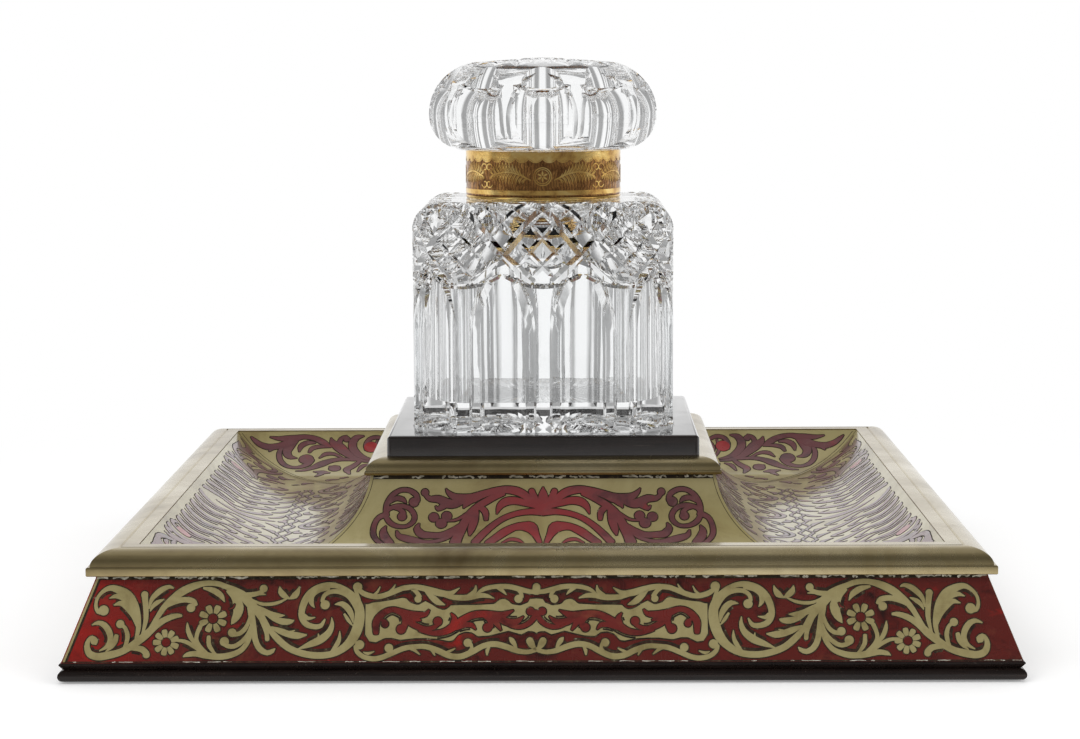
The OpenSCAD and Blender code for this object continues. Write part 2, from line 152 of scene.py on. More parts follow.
# Next part of it. What stands before an upright bar was noted in the crop of the left end.
INNER_CROP = Crop(left=220, top=570, zoom=8.711)
INNER_NOTES = """
b 770,560,16 830,480,30 880,400,40 940,310,48 1010,240,56 1090,180,66 1180,135,60 1280,110,46 1380,112,44
  | 60,148,48 140,185,60 210,235,80 280,310,80 340,380,66 385,450,56 430,520,44 500,600,56 600,680,58
  720,728,58 850,745,56 980,728,56 1090,670,70 1165,580,86 1210,460,90 1215,340,80 1180,250,56 1110,180,44
  1020,140,44 930,135,52 830,170,60 760,240,62 718,330,56 712,410,54 750,470,50 820,495,46 880,485,40
  912,430,14
b 1098,718,10 1130,700,36 1200,692,46 1300,708,50 1400,715,52 | 90,742,52 180,700,46 240,630,42 272,550,34
  285,480,24
bd 37,625,80
b 22,640,30 60,660,38 120,665,40 190,625,40 245,560,36 270,490,26
bd 108,545,76
b 110,560,40 165,555,40 215,515,38 248,455,30 258,400,16
b 70,185,30 130,240,64 160,320,90 150,390,76 120,440,50 98,472,10
s 85,340,8 112,328,12 130,298,5
b 200,215,40 270,215,44 330,205,40 370,185,36
bd 380,162,68
b 330,208,30 398,214,10
b 285,262,14 350,292,26 430,300,30 510,285,26 575,255,16
b 605,250,12 560,225,50 530,190,46 520,148,8
b 605,250,12 650,225,56 680,185,40 692,146,8
b 300,310,30 370,355,56 440,385,52 510,395,40 560,395,10
b 395,385,12 470,425,40 550,450,56 610,450,46 640,440,16
b 350,410,40 385,480,44 405,550,40 412,600,38
bd 412,602,40
b 450,500,20 520,530,50 600,560,58 680,572,56 750,565,14
b 590,545,24 650,526,8
bd 915,302,80
b 892,270,34 905,225,36 960,190,40 1040,190,42 1120,230,44 1175,310,40 1197,400,12
b 822,328,8 795,285,42 805,225,46 860,180,42 950,160,26
b 1003,300,8 1060,295,44 1110,330,54 1145,390,44 1158,457,8
b 1085,385,20 1120,440,30 1155,485,10
b 1043,536,10 1040,600,34 1010,660,38 965,712,12
b 975,416,10 975,480,40 945,550,58 870,610,66 780,650,50 680,690,10
b 862,600,28 856,556,8
b 735,400,40 770,422,34 827,415,8
b 262,330,50 280,430,56 295,530,50 312,620,50 350,690,50 410,722,46 460,705,36 478,686,12
bd 1200,150,80
b 1170,150,20 1190,200,30 1215,260,20
b 1205,170,36 1250,205,44 1320,228,44 1394,230,44 1480,205,44 1568,167,44 1610,155,44 1714,150,46
  1824,172,52 1914,200,60 2004,205,44 2084,158,10
b 1340,220,20 1372,190,20 1395,148,8
b 1460,205,24 1500,175,24 1525,130,8
bd 1215,650,80
b 1180,665,34 1195,710,38 1250,755,42 1330,775,44 1400,765,44 1470,738,44 1568,695,44 1624,678,44
  1704,668,42 1794,668,44 1894,700,50 1994,745,52 2094,755,50 2194,715,50 2294,660,48 2394,645,50
  2494,668,50 2594,705,46 2684,712,40 2756,692,40
b 1250,716,8 1290,730,28 1342,710,8
"""

# Middle of it, with the upper and the lower edge of the brass cartouche, which have no width
MIDDLE_CROP = Crop(left=380, top=570, zoom=8.711)
MIDDLE_NOTES = """
b 540,215,30 640,238,46 760,240,50 860,222,44 930,225,36 990,247,10
b 835,138,10 825,185,36 770,225,30
b 828,216,10 900,168,36 1000,145,40 1120,145,44 1230,170,46 1310,188,40 1362,190,40
b 1362,190,70 1362,150,66
bd 1362,148,66
b 260,165,10 310,185,36 345,230,38
bd 332,255,64
b 390,180,12 450,235,52 505,280,52 565,305,10
b 1010,150,14 1060,175,34 1097,214,8
b 1180,165,12 1225,195,34 1232,235,36
bd 1206,252,72
bd 76,680,76
b 90,695,34 112,722,24
b 235,680,8 290,692,30 347,738,8
b 430,686,8 455,705,28 478,743,12
b 560,718,8 610,705,24 652,686,8
bd 765,635,72
b 788,640,30 800,680,30 775,710,20
b 955,668,12 935,700,34 930,737,14
b 1128,588,10 1150,612,44 1180,660,30 1190,692,12
b 1356,695,14 1322,655,56 1306,618,62
bd 1306,618,62
s -35,545,44 -30,450,60 30,375,55 110,345,45 190,370,60 250,398,84 330,392,56 400,385,40 427,353,14
s 250,410,70 310,425,50 355,442,10
sd 45,470,60
s 20,440,26 45,455,40
s 212,390,60 222,450,52 205,505,50
sd 185,515,82
s 240,440,50 300,480,52 380,512,46 450,508,40 500,480,30
sd 502,448,74
s 340,530,12 400,545,24 480,552,44 570,535,56 650,488,72 740,425,60 830,390,60 930,385,60 1040,400,70
  1110,375,40 1162,353,10
s 640,470,56 648,420,44 622,380,12
s 660,500,50 740,478,45 800,482,40 832,518,8
s 915,400,40 958,440,42 965,490,44
sd 935,503,74
s 970,405,70 1015,460,50 1052,522,16
s 1040,425,50 1110,455,62 1190,450,50 1247,405,10
s 1090,460,20 1150,490,30 1220,496,40 1290,470,42 1340,420,46 1362,370,50
sd 1312,362,68
"""

CARTOUCHE_NOTES = """
top -104,300 -60,285 0,278 100,262 200,243 232,250 262,285 330,308 372,285 395,272 450,300 500,335 552,352
  590,338 620,308 700,305 850,305 1000,296 1040,262 1075,252 1112,262 1145,298 1220,310 1290,285 1305,255
  1362,247
bottom -129,560 -94,620 -34,630 6,610 46,590 106,590 174,608 300,592 400,592 500,600 600,618 640,610
  680,560 740,535 800,540 850,578 950,570 1060,545 1120,528 1180,545 1230,560 1290,530 1340,535 1362,548
"""

# Shell let into the pedestal's flare, front sheet, left half
FLARE_CROP = Crop(left=360, top=465, zoom=7.84)
FLARE_NOTES = """
s 205,400,34 222,352,34 280,325,32 340,322,34 400,345,36 432,400,36 415,450,32 360,482,28 290,478,32
  235,450,36 207,405,34
s 205,380,36 215,310,38 255,240,36 320,200,32 390,198,34 445,235,38 455,280,36
sd 428,292,72
s 240,290,20 290,262,34 340,270,34 366,297,8
s 270,342,12 318,348,30 345,378,38
sd 333,405,66
s 215,385,40 150,415,34 115,470,34 108,540,34 135,590,32 180,625,28
s 208,482,10 188,520,44 200,570,60 240,615,50
s 292,518,10 310,558,40 370,580,56 430,592,50 510,606,36 600,600,30 690,572,24 740,540,8
s 467,462,10 452,500,44 490,545,60 560,552,50 640,552,50 720,525,54 790,480,40
s 1395,335,30 1340,275,50 1260,215,60 1160,195,56 1060,205,50 960,232,56 880,262,72 810,265,70 740,248,50
  695,215,30 678,188,8
s 860,280,60 830,310,40 815,338,8
sd 513,215,56
s 522,240,30 552,265,40 620,268,56 690,300,70 750,305,60 810,285,40
s 660,320,50 615,345,30 600,325,10
sd 582,410,76
sd 684,402,74
sd 640,458,80
s 680,440,14 760,430,18 830,390,22 900,345,26
s 1130,225,30 1060,250,46 1000,280,50 930,325,52 870,380,56 830,440,60 800,500,64 770,560,66 750,610,70
s 950,330,40 985,370,44 992,425,30
s 905,370,60 895,440,60 875,510,44 862,552,10
s 1395,335,16 1300,300,46 1220,280,56 1150,288,60 1100,325,46 1076,384,8
s 1440,368,60 1340,365,44 1240,380,40 1140,415,40 1050,470,44 970,540,48 905,605,50
s 1330,450,12 1240,478,46 1150,520,60 1080,565,56 1010,612,50
s 1400,345,24 1375,275,56 1352,212,44
sd 1350,208,46
s 1440,360,100 1440,290,84 1440,225,60 1440,175,10
s 1200,505,16 1270,485,60 1340,490,90 1380,545,50 1412,605,30
s 1120,612,10 1180,585,24 1240,590,26 1282,612,8
"""

# Shell let into the outer sweep of the tray, back sheet, right half
SWEEP_CROP = Crop(left=700, top=425, zoom=9.2235)
SWEEP_NOTES = """
s 60,130,26 120,105,34 190,120,36 232,170,28 232,220,12
sr 180,195,110
s 250,93,10 310,105,50 350,150,60 345,210,62 290,270,50 220,300,30 150,312,12
s 160,330,16 260,320,30 350,290,46 420,240,70 480,190,84 535,150,50 550,108,8
s 480,165,40 455,115,34 412,98,28
sd 405,120,54
s 555,190,16 620,150,50 700,112,46 800,97,40 880,110,60 960,112,56 1040,110,36 1112,95,10
s 900,120,60 960,160,76 1040,182,60 1130,188,60 1210,162,44 1262,122,30 1292,92,8
s 1090,190,60 1122,228,10
s 1000,190,20 1030,240,34 1020,310,36 970,360,34 900,380,30 830,375,36 765,348,44 735,312,46
sd 780,305,104
s 880,120,60 935,180,76 960,240,60 930,282,44 868,292,8
s 700,152,16 770,152,40 828,182,44 845,232,10
s 560,192,10 650,187,30 720,202,36 752,238,20
s 430,300,12 520,257,26 600,257,36 657,292,8
s 330,315,16 450,305,36 550,320,44 640,350,60 720,382,40 800,405,24 872,411,6
s 290,330,30 340,368,40 400,402,44 378,442,10
sd 515,390,76
s 480,375,20 560,372,14
s 565,430,14 630,425,44 705,418,8
s 640,440,30 685,462,12
s 200,352,10 260,372,30 302,420,6
s 395,470,10 450,480,16
s 480,490,10 560,495,20 580,505,8
"""

# Pixels on the middle line of the front side, of the front sheet and of the back sheet
SIDE_MIDDLE = (536.4, 620)
FLARE_MIDDLE = (543.6, 520)
SWEEP_MIDDLE = (543.6, 445)


@dataclass
class Reader:
    """Reads noted strokes off the photograph onto a surface that runs level along the stand.

    The profile's points are (y, z) in millimetres, from where the height on the surface is counted. A flat
    surface has two points and runs on past them. Of several hits the nearest counts, or the farthest.
    """

    profile: list[Spot]
    middle: Spot
    farthest: bool = False
    leap: float = 10.0

    def spot(self, across: float, down: float) -> Spot:
        """Finds where a pixel of the photograph falls.

        Args:
            across: Pixels from the photograph's left edge.
            down: Pixels from its upper edge.

        Returns:
            The place along the surface and the way up or down it.
        """
        eye, ray = CAMERA.eye, CAMERA.ray(across, down)
        hits = []
        way = 0.0
        for start, end in zip(self.profile, self.profile[1:]):
            run, rise = end[0] - start[0], end[1] - start[1]
            behind, over = start[0] - eye[1], start[1] - eye[2]
            slant = ray[2] * run - ray[1] * rise
            length = math.hypot(run, rise)
            if slant:
                far = (run * over - rise * behind) / slant
                share = (ray[1] * over - ray[2] * behind) / slant
                if far > 0 and (0 <= share <= 1 or len(self.profile) == 2):
                    hits.append((far, eye[0] + far * ray[0], way + share * length))
            way += length
        _, along, height = max(hits) if self.farthest else min(hits)
        return along, height

    def point(self, note: str, crop: Crop) -> tuple[float, ...]:
        """Reads one noted point, to a tenth of a millimetre.

        Args:
            note: Across, down and, for a ribbon or a disc, width in the crop's pixels.
            crop: Where it was noted.

        Returns:
            The place along the surface, the way up or down it, and the width if there is one.
        """
        x, y, *width = (float(number) for number in note.split(","))
        across, down = crop.left + x / crop.zoom, crop.top + y / crop.zoom
        along, height = self.spot(across, down)
        numbers = [along - self.spot(*self.middle)[0], height]
        if width:
            wide = abs(self.spot(across + 1, down)[0] - along)
            tall = abs(self.spot(across, down + 1)[1] - height)
            if tall > self.leap:
                # the next pixel down misses this part of the surface
                tall = abs(self.spot(across, down - 1)[1] - height)
            numbers.append(width[0] / crop.zoom * math.sqrt(wide * tall))
        return tuple(round(round(number, 2), 1) + 0.0 for number in numbers)

    def strokes(self, notes: str, crop: Crop, earlier: Crop | None = None) -> list[Stroke]:
        """Reads noted strokes, a row each, which indented lines carry on.

        Args:
            notes: The rows.
            crop: Where their points were noted.
            earlier: Where the points before an upright bar were noted.

        Returns:
            Kinds and points.
        """
        found = []
        for row in notes.strip().replace("\n ", " ").splitlines():
            kind, body = row.split(maxsplit=1)
            before, _, after = body.rpartition("|")
            points = [self.point(note, earlier) for note in before.split()]
            found.append((kind, points + [self.point(note, crop) for note in after.split()]))
        return found


def mirrored(strokes: Iterable[Stroke]) -> list[Stroke]:
    """Adds the strokes' mirror images across the middle, which a stroke on the middle goes without.

    Args:
        strokes: One half of a design.

    Returns:
        Both halves.
    """
    strokes = list(strokes)
    aside = [(kind, points) for kind, points in strokes if max(abs(p[0]) for p in points) > 0.4]
    return strokes + [(kind, [(-p[0], *p[1:]) for p in points]) for kind, points in aside]


def running_scroll(start: float, end: float, middle: float, height: float, lobes: int) -> list[Stroke]:
    """Draws a running scroll: a waving stem with a curl, an eye and two leaves in each wave.

    Args:
        start: Where along the surface the stem starts.
        end: Where it ends.
        middle: Height of the stem's middle line on the surface.
        height: Height of the whole scroll.
        lobes: Number of half waves.

    Returns:
        Shell strokes.
    """
    pitch = (end - start) / lobes
    stem = [
        (start + pitch * lobes * i / (6 * lobes), middle + height * 0.36 * math.sin(math.pi * i / 6), 1.5)
        for i in range(6 * lobes + 1)
    ]
    strokes: list[Stroke] = [("s", stem)]
    for lobe in range(lobes):
        up = 1 if lobe % 2 == 0 else -1
        eye = (start + pitch * (lobe + 0.5), middle - up * height * 0.06)
        reach = min(pitch * 0.4, height * 0.36)
        curl = []
        for i in range(13):
            angle = math.pi * (0.95 - 1.75 * i / 12)
            radius = reach * (1 - 0.62 * i / 12)
            curl.append((eye[0] + radius * math.cos(angle), eye[1] + up * radius * math.sin(angle) * 0.9,
                         1.5 - 0.6 * i / 12))
        strokes.append(("s", curl))
        strokes.append(("sd", [(eye[0], eye[1], reach * 0.42)]))
        for lean in (-1, 1):
            root = (eye[0] + lean * reach * 0.75, eye[1] - up * reach * 0.55)
            strokes.append(("s", [
                (root[0], root[1], 0.5),
                (root[0] + lean * reach * 0.3, root[1] - up * reach * 0.3, 2.2),
                (root[0] + lean * reach * 0.75, root[1] - up * reach * 0.42, 1.5),
                (root[0] + lean * reach * 1.1, root[1] - up * reach * 0.3, 0.3),
            ]))
    return strokes


# finishes


class Wiring:
    """The node tree of one finish, with a short call for each node that finishes use."""

    def __init__(self, name: str) -> None:
        """Starts an empty material.

        Args:
            name: The finish's name.
        """
        self.material = bpy.data.materials.new(name)
        self.material.use_nodes = True
        self.tree = self.material.node_tree
        self.tree.nodes.clear()
        self.output = self.tree.nodes.new("ShaderNodeOutputMaterial")
        self.coords = self.tree.nodes.new("ShaderNodeTexCoord")

    def _set(self, socket: Socket, value: Value) -> None:
        """Links a socket to the input, or sets it as the input's own value.

        Args:
            socket: The input.
            value: The socket or the value it takes.
        """
        if isinstance(value, Socket):
            self.tree.links.new(value, socket)
        else:
            socket.default_value = value

    def _node(self, kind: str, inputs: dict[str | int, Value], output: str | int = 0,
              **settings: str) -> Socket:
        """Adds a node.

        Args:
            kind: The last part of its type's name.
            inputs: What each input is linked to or set to.
            output: Which of its outputs is wanted.
            settings: The node's own settings.

        Returns:
            The output.
        """
        node = self.tree.nodes.new(f"ShaderNode{kind}")
        for name, value in settings.items():
            setattr(node, name, value)
        for name, value in inputs.items():
            self._set(node.inputs[name], value)
        return node.outputs[output]

    def place(self, scale: Triple = (1, 1, 1), turn: Triple = (0, 0, 0)) -> Socket:
        """Object coordinates, made denser along each axis by a scale and turned by degrees."""
        turned = tuple(math.radians(angle) for angle in turn)
        return self._node("Mapping", {"Vector": self.coords.outputs["Object"], "Scale": scale,
                                      "Rotation": turned})

    def axis(self, name: str) -> Socket:
        """One of the object coordinates, X, Y or Z."""
        return self._node("SeparateXYZ", {0: self.coords.outputs["Object"]}, name)

    def noise(self, vector: Socket, scale: float, detail: float = 4, roughness: float = 0.55,
              distortion: float = 0) -> Socket:
        """Cloudy noise from 0 to 1 at a scale given per metre."""
        return self._node("TexNoise", {"Vector": vector, "Scale": scale, "Detail": detail,
                                       "Roughness": roughness, "Distortion": distortion}, "Fac")

    def waves(self, vector: Socket, scale: float, distortion: float, detail_scale: float) -> Socket:
        """Wandering bands from 0 to 1, like cut lines."""
        return self._node("TexWave", {"Vector": vector, "Scale": scale, "Distortion": distortion,
                                      "Detail Scale": detail_scale / scale}, "Fac")

    def level(self, value: Socket, low: float, high: float, to_low: float = 0, to_high: float = 1) -> Socket:
        """A value brought from one range into another and held there."""
        return self._node("MapRange", {"Value": value, "From Min": low, "From Max": high, "To Min": to_low,
                                       "To Max": to_high}, "Result")

    def maths(self, operation: str, first: Value, second: Value = 0.0) -> Socket:
        """One sum on two values."""
        return self._node("Math", {0: first, 1: second}, operation=operation)

    def ramp(self, value: Socket, stops: Iterable[tuple[float, Colour]]) -> Socket:
        """Colours along a value.

        Args:
            value: What runs from 0 to 1.
            stops: Each place and its colour.

        Returns:
            The colour's socket.
        """
        node = self.tree.nodes.new("ShaderNodeValToRGB")
        self._set(node.inputs["Fac"], value)
        stops = list(stops)
        elements = node.color_ramp.elements
        while len(elements) < len(stops):
            elements.new(0.5)
        for element, (place, colour) in zip(elements, stops):
            element.position = place
            element.color = colour
        return node.outputs["Color"]

    def tint(self, amount: Value, first: Value, second: Value) -> Socket:
        """Two colours mixed by an amount."""
        return self._node("Mix", {0: amount, 6: first, 7: second}, 2, data_type="RGBA")

    def bump(self, height: Socket, strength: float, distance: float) -> Socket:
        """A normal bumped by a height."""
        return self._node("Bump", {"Height": height, "Strength": strength, "Distance": distance}, "Normal")

    def surface(self, **sockets: Value) -> bpy.types.Node:
        """Shows the Principled shader.

        Args:
            sockets: Its inputs by name, with underscores for spaces.

        Returns:
            The shader's node.
        """
        node = self.tree.nodes.new("ShaderNodeBsdfPrincipled")
        for name, value in sockets.items():
            self._set(node.inputs[name.replace("_", " ")], value)
        self.tree.links.new(node.outputs[0], self.output.inputs["Surface"])
        return node


def shade(red: int, green: int, blue: int) -> Colour:
    """A colour as it looks on a screen, 0 to 255, turned into the linear values that nodes take.

    Args:
        red: Red channel.
        green: Green channel.
        blue: Blue channel.

    Returns:
        The linear colour with a full alpha.
    """

    def linear(channel: int) -> float:
        """One channel."""
        value = channel / 255
        return value / 12.92 if value <= 0.04045 else ((value + 0.055) / 1.055) ** 2.4

    return linear(red), linear(green), linear(blue), 1.0


class Finish:
    """A finish that makes its material once and hands out the same one."""

    made: dict[str, bpy.types.Material] = {}

    def dress(self) -> bpy.types.Material:
        """Builds the material. Each finish has its own."""
        raise NotImplementedError

    @property
    def material(self) -> bpy.types.Material:
        """The finish's material, built the first time it is asked for.

        Returns:
            The material.
        """
        key = repr(self)
        if key not in Finish.made:
            Finish.made[key] = self.dress()
        return Finish.made[key]


@dataclass(frozen=True)
class Ebonised(Finish):
    """Black stained wood with a dull polish, fine scratches and worn specks."""

    name: str = "ebonised_wood"
    polish: float = 0.2
    wear: float = 1.0
    relief: float = 0.25
    shine: float = 0.3
    coat: float = 0.0

    def dress(self) -> bpy.types.Material:
        """Builds the material.

        Returns:
            The material.
        """
        w = Wiring(self.name)
        grain = w.noise(w.place((12, 12, 260)), 3, 8, 0.65, 0.4)
        scratches = w.level(w.noise(w.place((9, 9, 900)), 2.4, 3, 0.7), 0.64, 0.7)
        specks = w.level(w.noise(w.place(), 900, 3, 0.75), 0.66, 0.74)
        patches = w.level(w.noise(w.place(), 70, 4, 0.6), 0.35, 0.7)
        worn = w.maths("MULTIPLY", w.maths("MAXIMUM", scratches, specks),
                       w.maths("MULTIPLY", patches, self.wear))
        black = w.ramp(grain,
                       [(0.3, shade(16, 11, 10)), (0.62, shade(33, 24, 21)), (0.8, shade(54, 41, 34))])
        colour = w.tint(w.maths("MULTIPLY", worn, 0.55), black, shade(140, 126, 112))
        gloss = w.level(w.noise(w.place(), 120, 5, 0.7), 0.3, 0.75, self.polish, self.polish + 0.18)
        height = w.maths("SUBTRACT", grain, w.maths("MULTIPLY", worn, 0.6))
        w.surface(Base_Color=colour, Roughness=gloss, Specular_IOR_Level=self.shine, Coat_Weight=self.coat,
                  Normal=w.bump(height, self.relief, 0.0001))
        return w.material


@dataclass(frozen=True)
class BareWood(Finish):
    """Unfinished softwood of the carcase."""

    name: str = "carcase_wood"

    def dress(self) -> bpy.types.Material:
        """Builds the material.

        Returns:
            The material.
        """
        w = Wiring(self.name)
        grain = w.noise(w.place((10, 160, 160)), 3, 6, 0.6, 0.8)
        fibre = w.noise(w.place((30, 900, 900)), 2, 3, 0.6)
        both = w.maths("MULTIPLY", w.maths("ADD", grain, fibre), 0.5)
        colour = w.ramp(both,
                        [(0.35, shade(120, 84, 50)), (0.52, shade(165, 126, 82)),
                         (0.68, shade(192, 158, 112))])
        w.surface(Base_Color=colour, Roughness=w.level(fibre, 0.2, 0.8, 0.6, 0.85),
                  Normal=w.bump(both, 0.4, 0.0002))
        return w.material


@dataclass(frozen=True)
class Tortoiseshell(Finish):
    """Polished shell over red foil: dark clouds, orange veils and a brighter red over set parts of the stand.
    """

    name: str
    dark: Colour
    body: Colour
    warm: Colour
    bright: Colour
    red_from: float = 0.105
    red_to: float = 0.135
    red_left: bool = True
    gloss: float = 0.2
    polish: float = 0.0

    def dress(self) -> bpy.types.Material:
        """Builds the material.

        Returns:
            The material.
        """
        w = Wiring(self.name)
        clouds = w.noise(w.place((1, 1, 1.5)), 62, 5, 0.6, 1.3)
        veils = w.noise(w.place((1, 1, 1.4), (0, 25, 20)), 140, 4, 0.65, 0.8)
        fine = w.noise(w.place(), 800, 3, 0.7)
        colour = w.ramp(clouds,
                        [(0.3, self.dark), (0.46, self.body), (0.62, self.body), (0.78, self.bright)])
        colour = w.tint(w.level(veils, 0.56, 0.72, 0, 0.55), colour, self.warm)
        # brighter red on the stand's left beyond red_from; with red_left off, near the middle line instead
        along = w.maths("MULTIPLY", w.axis("X"), -1.0) if self.red_left else w.maths("ABSOLUTE", w.axis("X"))
        low, high = (0.0, 0.8) if self.red_left else (0.8, 0.0)
        redder = w.level(along, self.red_from, self.red_to, low, high)
        colour = w.tint(w.maths("MULTIPLY", redder, w.level(clouds, 0.3, 0.6, 0.4, 1)), colour, self.bright)
        colour = w.tint(w.level(fine, 0.62, 0.8, 0, 0.25), colour, self.dark)
        scratches = w.level(w.noise(w.place((700, 40, 40), (0, 30, 0)), 2, 2, 0.7), 0.63, 0.7)
        rough = w.maths("ADD", w.level(veils, 0.3, 0.7, self.gloss, self.gloss + 0.14),
                        w.maths("MULTIPLY", scratches, 0.2))
        w.surface(Base_Color=colour, Roughness=rough, Specular_IOR_Level=0.35, Coat_Weight=self.polish,
                  Coat_Roughness=0.1,
                  Normal=w.bump(w.maths("ADD", clouds, w.maths("MULTIPLY", scratches, 0.2)), 0.2, 0.0001))
        return w.material


@dataclass(frozen=True)
class Brass(Finish):
    """Brass in one of its states: tone, tarnish and how much it is scratched and rubbed."""

    name: str
    light: Colour
    tone: Colour
    tarnish: Colour
    metal: float = 0.9
    rough: float = 0.35
    patch: float = 60.0
    tarnished: float = 0.5
    scratch: float = 0.5
    crossed: float = 1.0
    polish: float = 0.0
    engraved: float = 0.0
    relief: float = 0.35

    def dress(self) -> bpy.types.Material:
        """Builds the material.

        Returns:
            The material.
        """
        w = Wiring(self.name)
        clouds = w.noise(w.place(), self.patch, 6, 0.62, 0.6)
        grime = w.noise(w.place(), self.patch * 7, 4, 0.7)
        colour = w.ramp(clouds, [(0.3, self.tarnish), (0.48, self.tone), (0.7, self.light)])
        spots = w.level(grime, 0.56, 0.74, 0, self.tarnished)
        colour = w.tint(spots, colour, self.tarnish)
        along = w.level(w.noise(w.place((14, 14, 1000)), 2, 3, 0.7), 0.6, 0.7)
        across = w.level(w.noise(w.place((900, 60, 60), (0, 40, 25)), 2, 2, 0.7), 0.62, 0.7, 0, self.crossed)
        scratches = w.maths("MULTIPLY", w.maths("MAXIMUM", along, across), self.scratch)
        colour = w.tint(w.maths("MULTIPLY", scratches, 0.5), colour, self.light)
        rough = w.maths("ADD", w.level(clouds, 0.3, 0.75, self.rough + 0.12, self.rough - 0.06),
                        w.maths("MULTIPLY", spots, 0.25))
        height = w.maths("ADD", w.maths("MULTIPLY", grime, 0.6), w.maths("MULTIPLY", scratches, -0.5))
        if self.engraved:
            lines = w.level(w.waves(w.place(), 330, 9, 260), 0.25, 0.6)
            colour = w.tint(w.level(lines, 0, 1, self.engraved, 0), colour, self.tarnish)
            height = w.maths("ADD", height, w.maths("MULTIPLY", lines, 1.6))
        w.surface(Base_Color=colour, Metallic=self.metal, Roughness=rough, Coat_Weight=self.polish,
                  Coat_Roughness=0.1, Normal=w.bump(height, self.relief, 0.00012))
        return w.material


@dataclass(frozen=True)
class Mastic(Finish):
    """Dark filler in the lines round the inlay, with pale chips.

    The same dark serves as painted shade in the strips under the rim, at the panels' foot and under the
    pedestal moulding.
    """

    name: str = "inlay_filler"

    def dress(self) -> bpy.types.Material:
        """Builds the material.

        Returns:
            The material.
        """
        w = Wiring(self.name)
        grain = w.noise(w.place(), 700, 4, 0.7)
        # dark tones: real filler in the inlay's lines, and painted shade in the shade strips round the stand
        colour = w.ramp(grain,
                        [(0.35, shade(24, 18, 12)), (0.55, shade(48, 38, 24)), (0.66, shade(74, 66, 46)),
                                (0.74, shade(150, 148, 128))])
        w.surface(Base_Color=colour, Roughness=w.level(grain, 0.3, 0.7, 0.5, 0.8), Specular_IOR_Level=0.3,
                  Normal=w.bump(grain, 0.4, 0.00015))
        return w.material


@dataclass(frozen=True)
class CutGlass(Finish):
    """Clear polished lead glass with a faint waviness. Lamps shine through it."""

    name: str = "cut_glass"
    tone: Colour = (0.975, 0.982, 0.985, 1.0)
    wave: float = 0.06

    def dress(self) -> bpy.types.Material:
        """Builds the material.

        Returns:
            The material.
        """
        w = Wiring(self.name)
        wave = w.noise(w.place((1, 1, 0.6)), 90, 3, 0.5)
        rub = w.level(w.noise(w.place(), 420, 4, 0.7), 0.5, 0.8, 0.0, 0.05)
        glass = w.surface(Base_Color=self.tone, Roughness=rub, IOR=1.54, Transmission_Weight=1.0,
                          Normal=w.bump(wave, self.wave, 0.0006))
        clear = w.tree.nodes.new("ShaderNodeBsdfTransparent")
        clear.inputs["Color"].default_value = (0.93, 0.94, 0.94, 1)
        mix = w.tree.nodes.new("ShaderNodeMixShader")
        path = w.tree.nodes.new("ShaderNodeLightPath")
        w.tree.links.new(path.outputs["Is Shadow Ray"], mix.inputs[0])
        w.tree.links.new(glass.outputs[0], mix.inputs[1])
        w.tree.links.new(clear.outputs[0], mix.inputs[2])
        w.tree.links.new(mix.outputs[0], w.output.inputs["Surface"])
        return w.material


@dataclass(frozen=True)
class Steel(Finish):
    """Plain steel of the screws, with a turned grain and a little rust."""

    name: str = "steel"

    def dress(self) -> bpy.types.Material:
        """Builds the material.

        Returns:
            The material.
        """
        w = Wiring(self.name)
        spots = w.noise(w.place(), 900, 4, 0.7)
        colour = w.ramp(spots,
                        [(0.4, shade(120, 118, 115)), (0.62, shade(150, 148, 146)),
                         (0.75, shade(96, 66, 46))])
        w.surface(Base_Color=colour, Metallic=0.9, Roughness=w.level(spots, 0.3, 0.8, 0.3, 0.6),
                  Normal=w.bump(spots, 0.3, 0.0001))
        return w.material


@dataclass(frozen=True)
class Baize(Finish):
    """Green felted cloth."""

    name: str = "baize"

    def dress(self) -> bpy.types.Material:
        """Builds the material.

        Returns:
            The material.
        """
        w = Wiring(self.name)
        nap = w.noise(w.place(), 1600, 4, 0.8)
        felt = w.noise(w.place(), 90, 3, 0.6)
        colour = w.ramp(nap, [(0.3, shade(20, 52, 30)), (0.6, shade(38, 84, 50)), (0.8, shade(66, 112, 74))])
        colour = w.tint(w.level(felt, 0.4, 0.7, 0, 0.35), colour, shade(30, 60, 38))
        w.surface(Base_Color=colour, Roughness=0.95, Sheen_Weight=0.3, Normal=w.bump(nap, 0.8, 0.0004))
        return w.material


EBONY = Ebonised()
BLOCK_EBONY = Ebonised("block_ebony", polish=0.05, wear=0.6, relief=0.06, shine=0.5, coat=0.6)
BARE_WOOD = BareWood()
PANEL_SHELL = Tortoiseshell("panel_shell", dark=shade(42, 15, 12), body=shade(88, 27, 21),
                            warm=shade(112, 54, 34),
                            bright=shade(156, 24, 16))
CARTOUCHE_SHELL = Tortoiseshell("cartouche_shell", dark=shade(60, 20, 18), body=shade(104, 34, 29),
                                warm=shade(126, 62, 40), bright=shade(142, 34, 27), gloss=0.24)
TRAY_SHELL = Tortoiseshell("tray_shell", dark=shade(70, 44, 48), body=shade(102, 56, 58),
                           warm=shade(122, 80, 78),
                           bright=shade(142, 42, 44), red_from=0.008, red_to=0.032, red_left=False,
                           gloss=0.28,
                           polish=0.8)
EYE_SHELL = Tortoiseshell("eye_shell", dark=shade(110, 16, 18), body=shade(146, 24, 26),
                          warm=shade(150, 60, 50),
                          bright=shade(172, 34, 32), gloss=0.25, polish=0.8)
PANEL_BRASS = Brass("panel_brass", light=shade(180, 168, 120), tone=shade(167, 154, 106),
                    tarnish=shade(140, 126, 82),
                    metal=0.4, rough=0.42, patch=90, tarnished=0.3, scratch=0.5)
TRAY_BRASS = Brass("tray_brass", light=shade(188, 176, 126), tone=shade(172, 158, 106),
                   tarnish=shade(134, 114, 68),
                   metal=0.4, rough=0.34, patch=26, tarnished=0.25, scratch=0.4, polish=0.9)
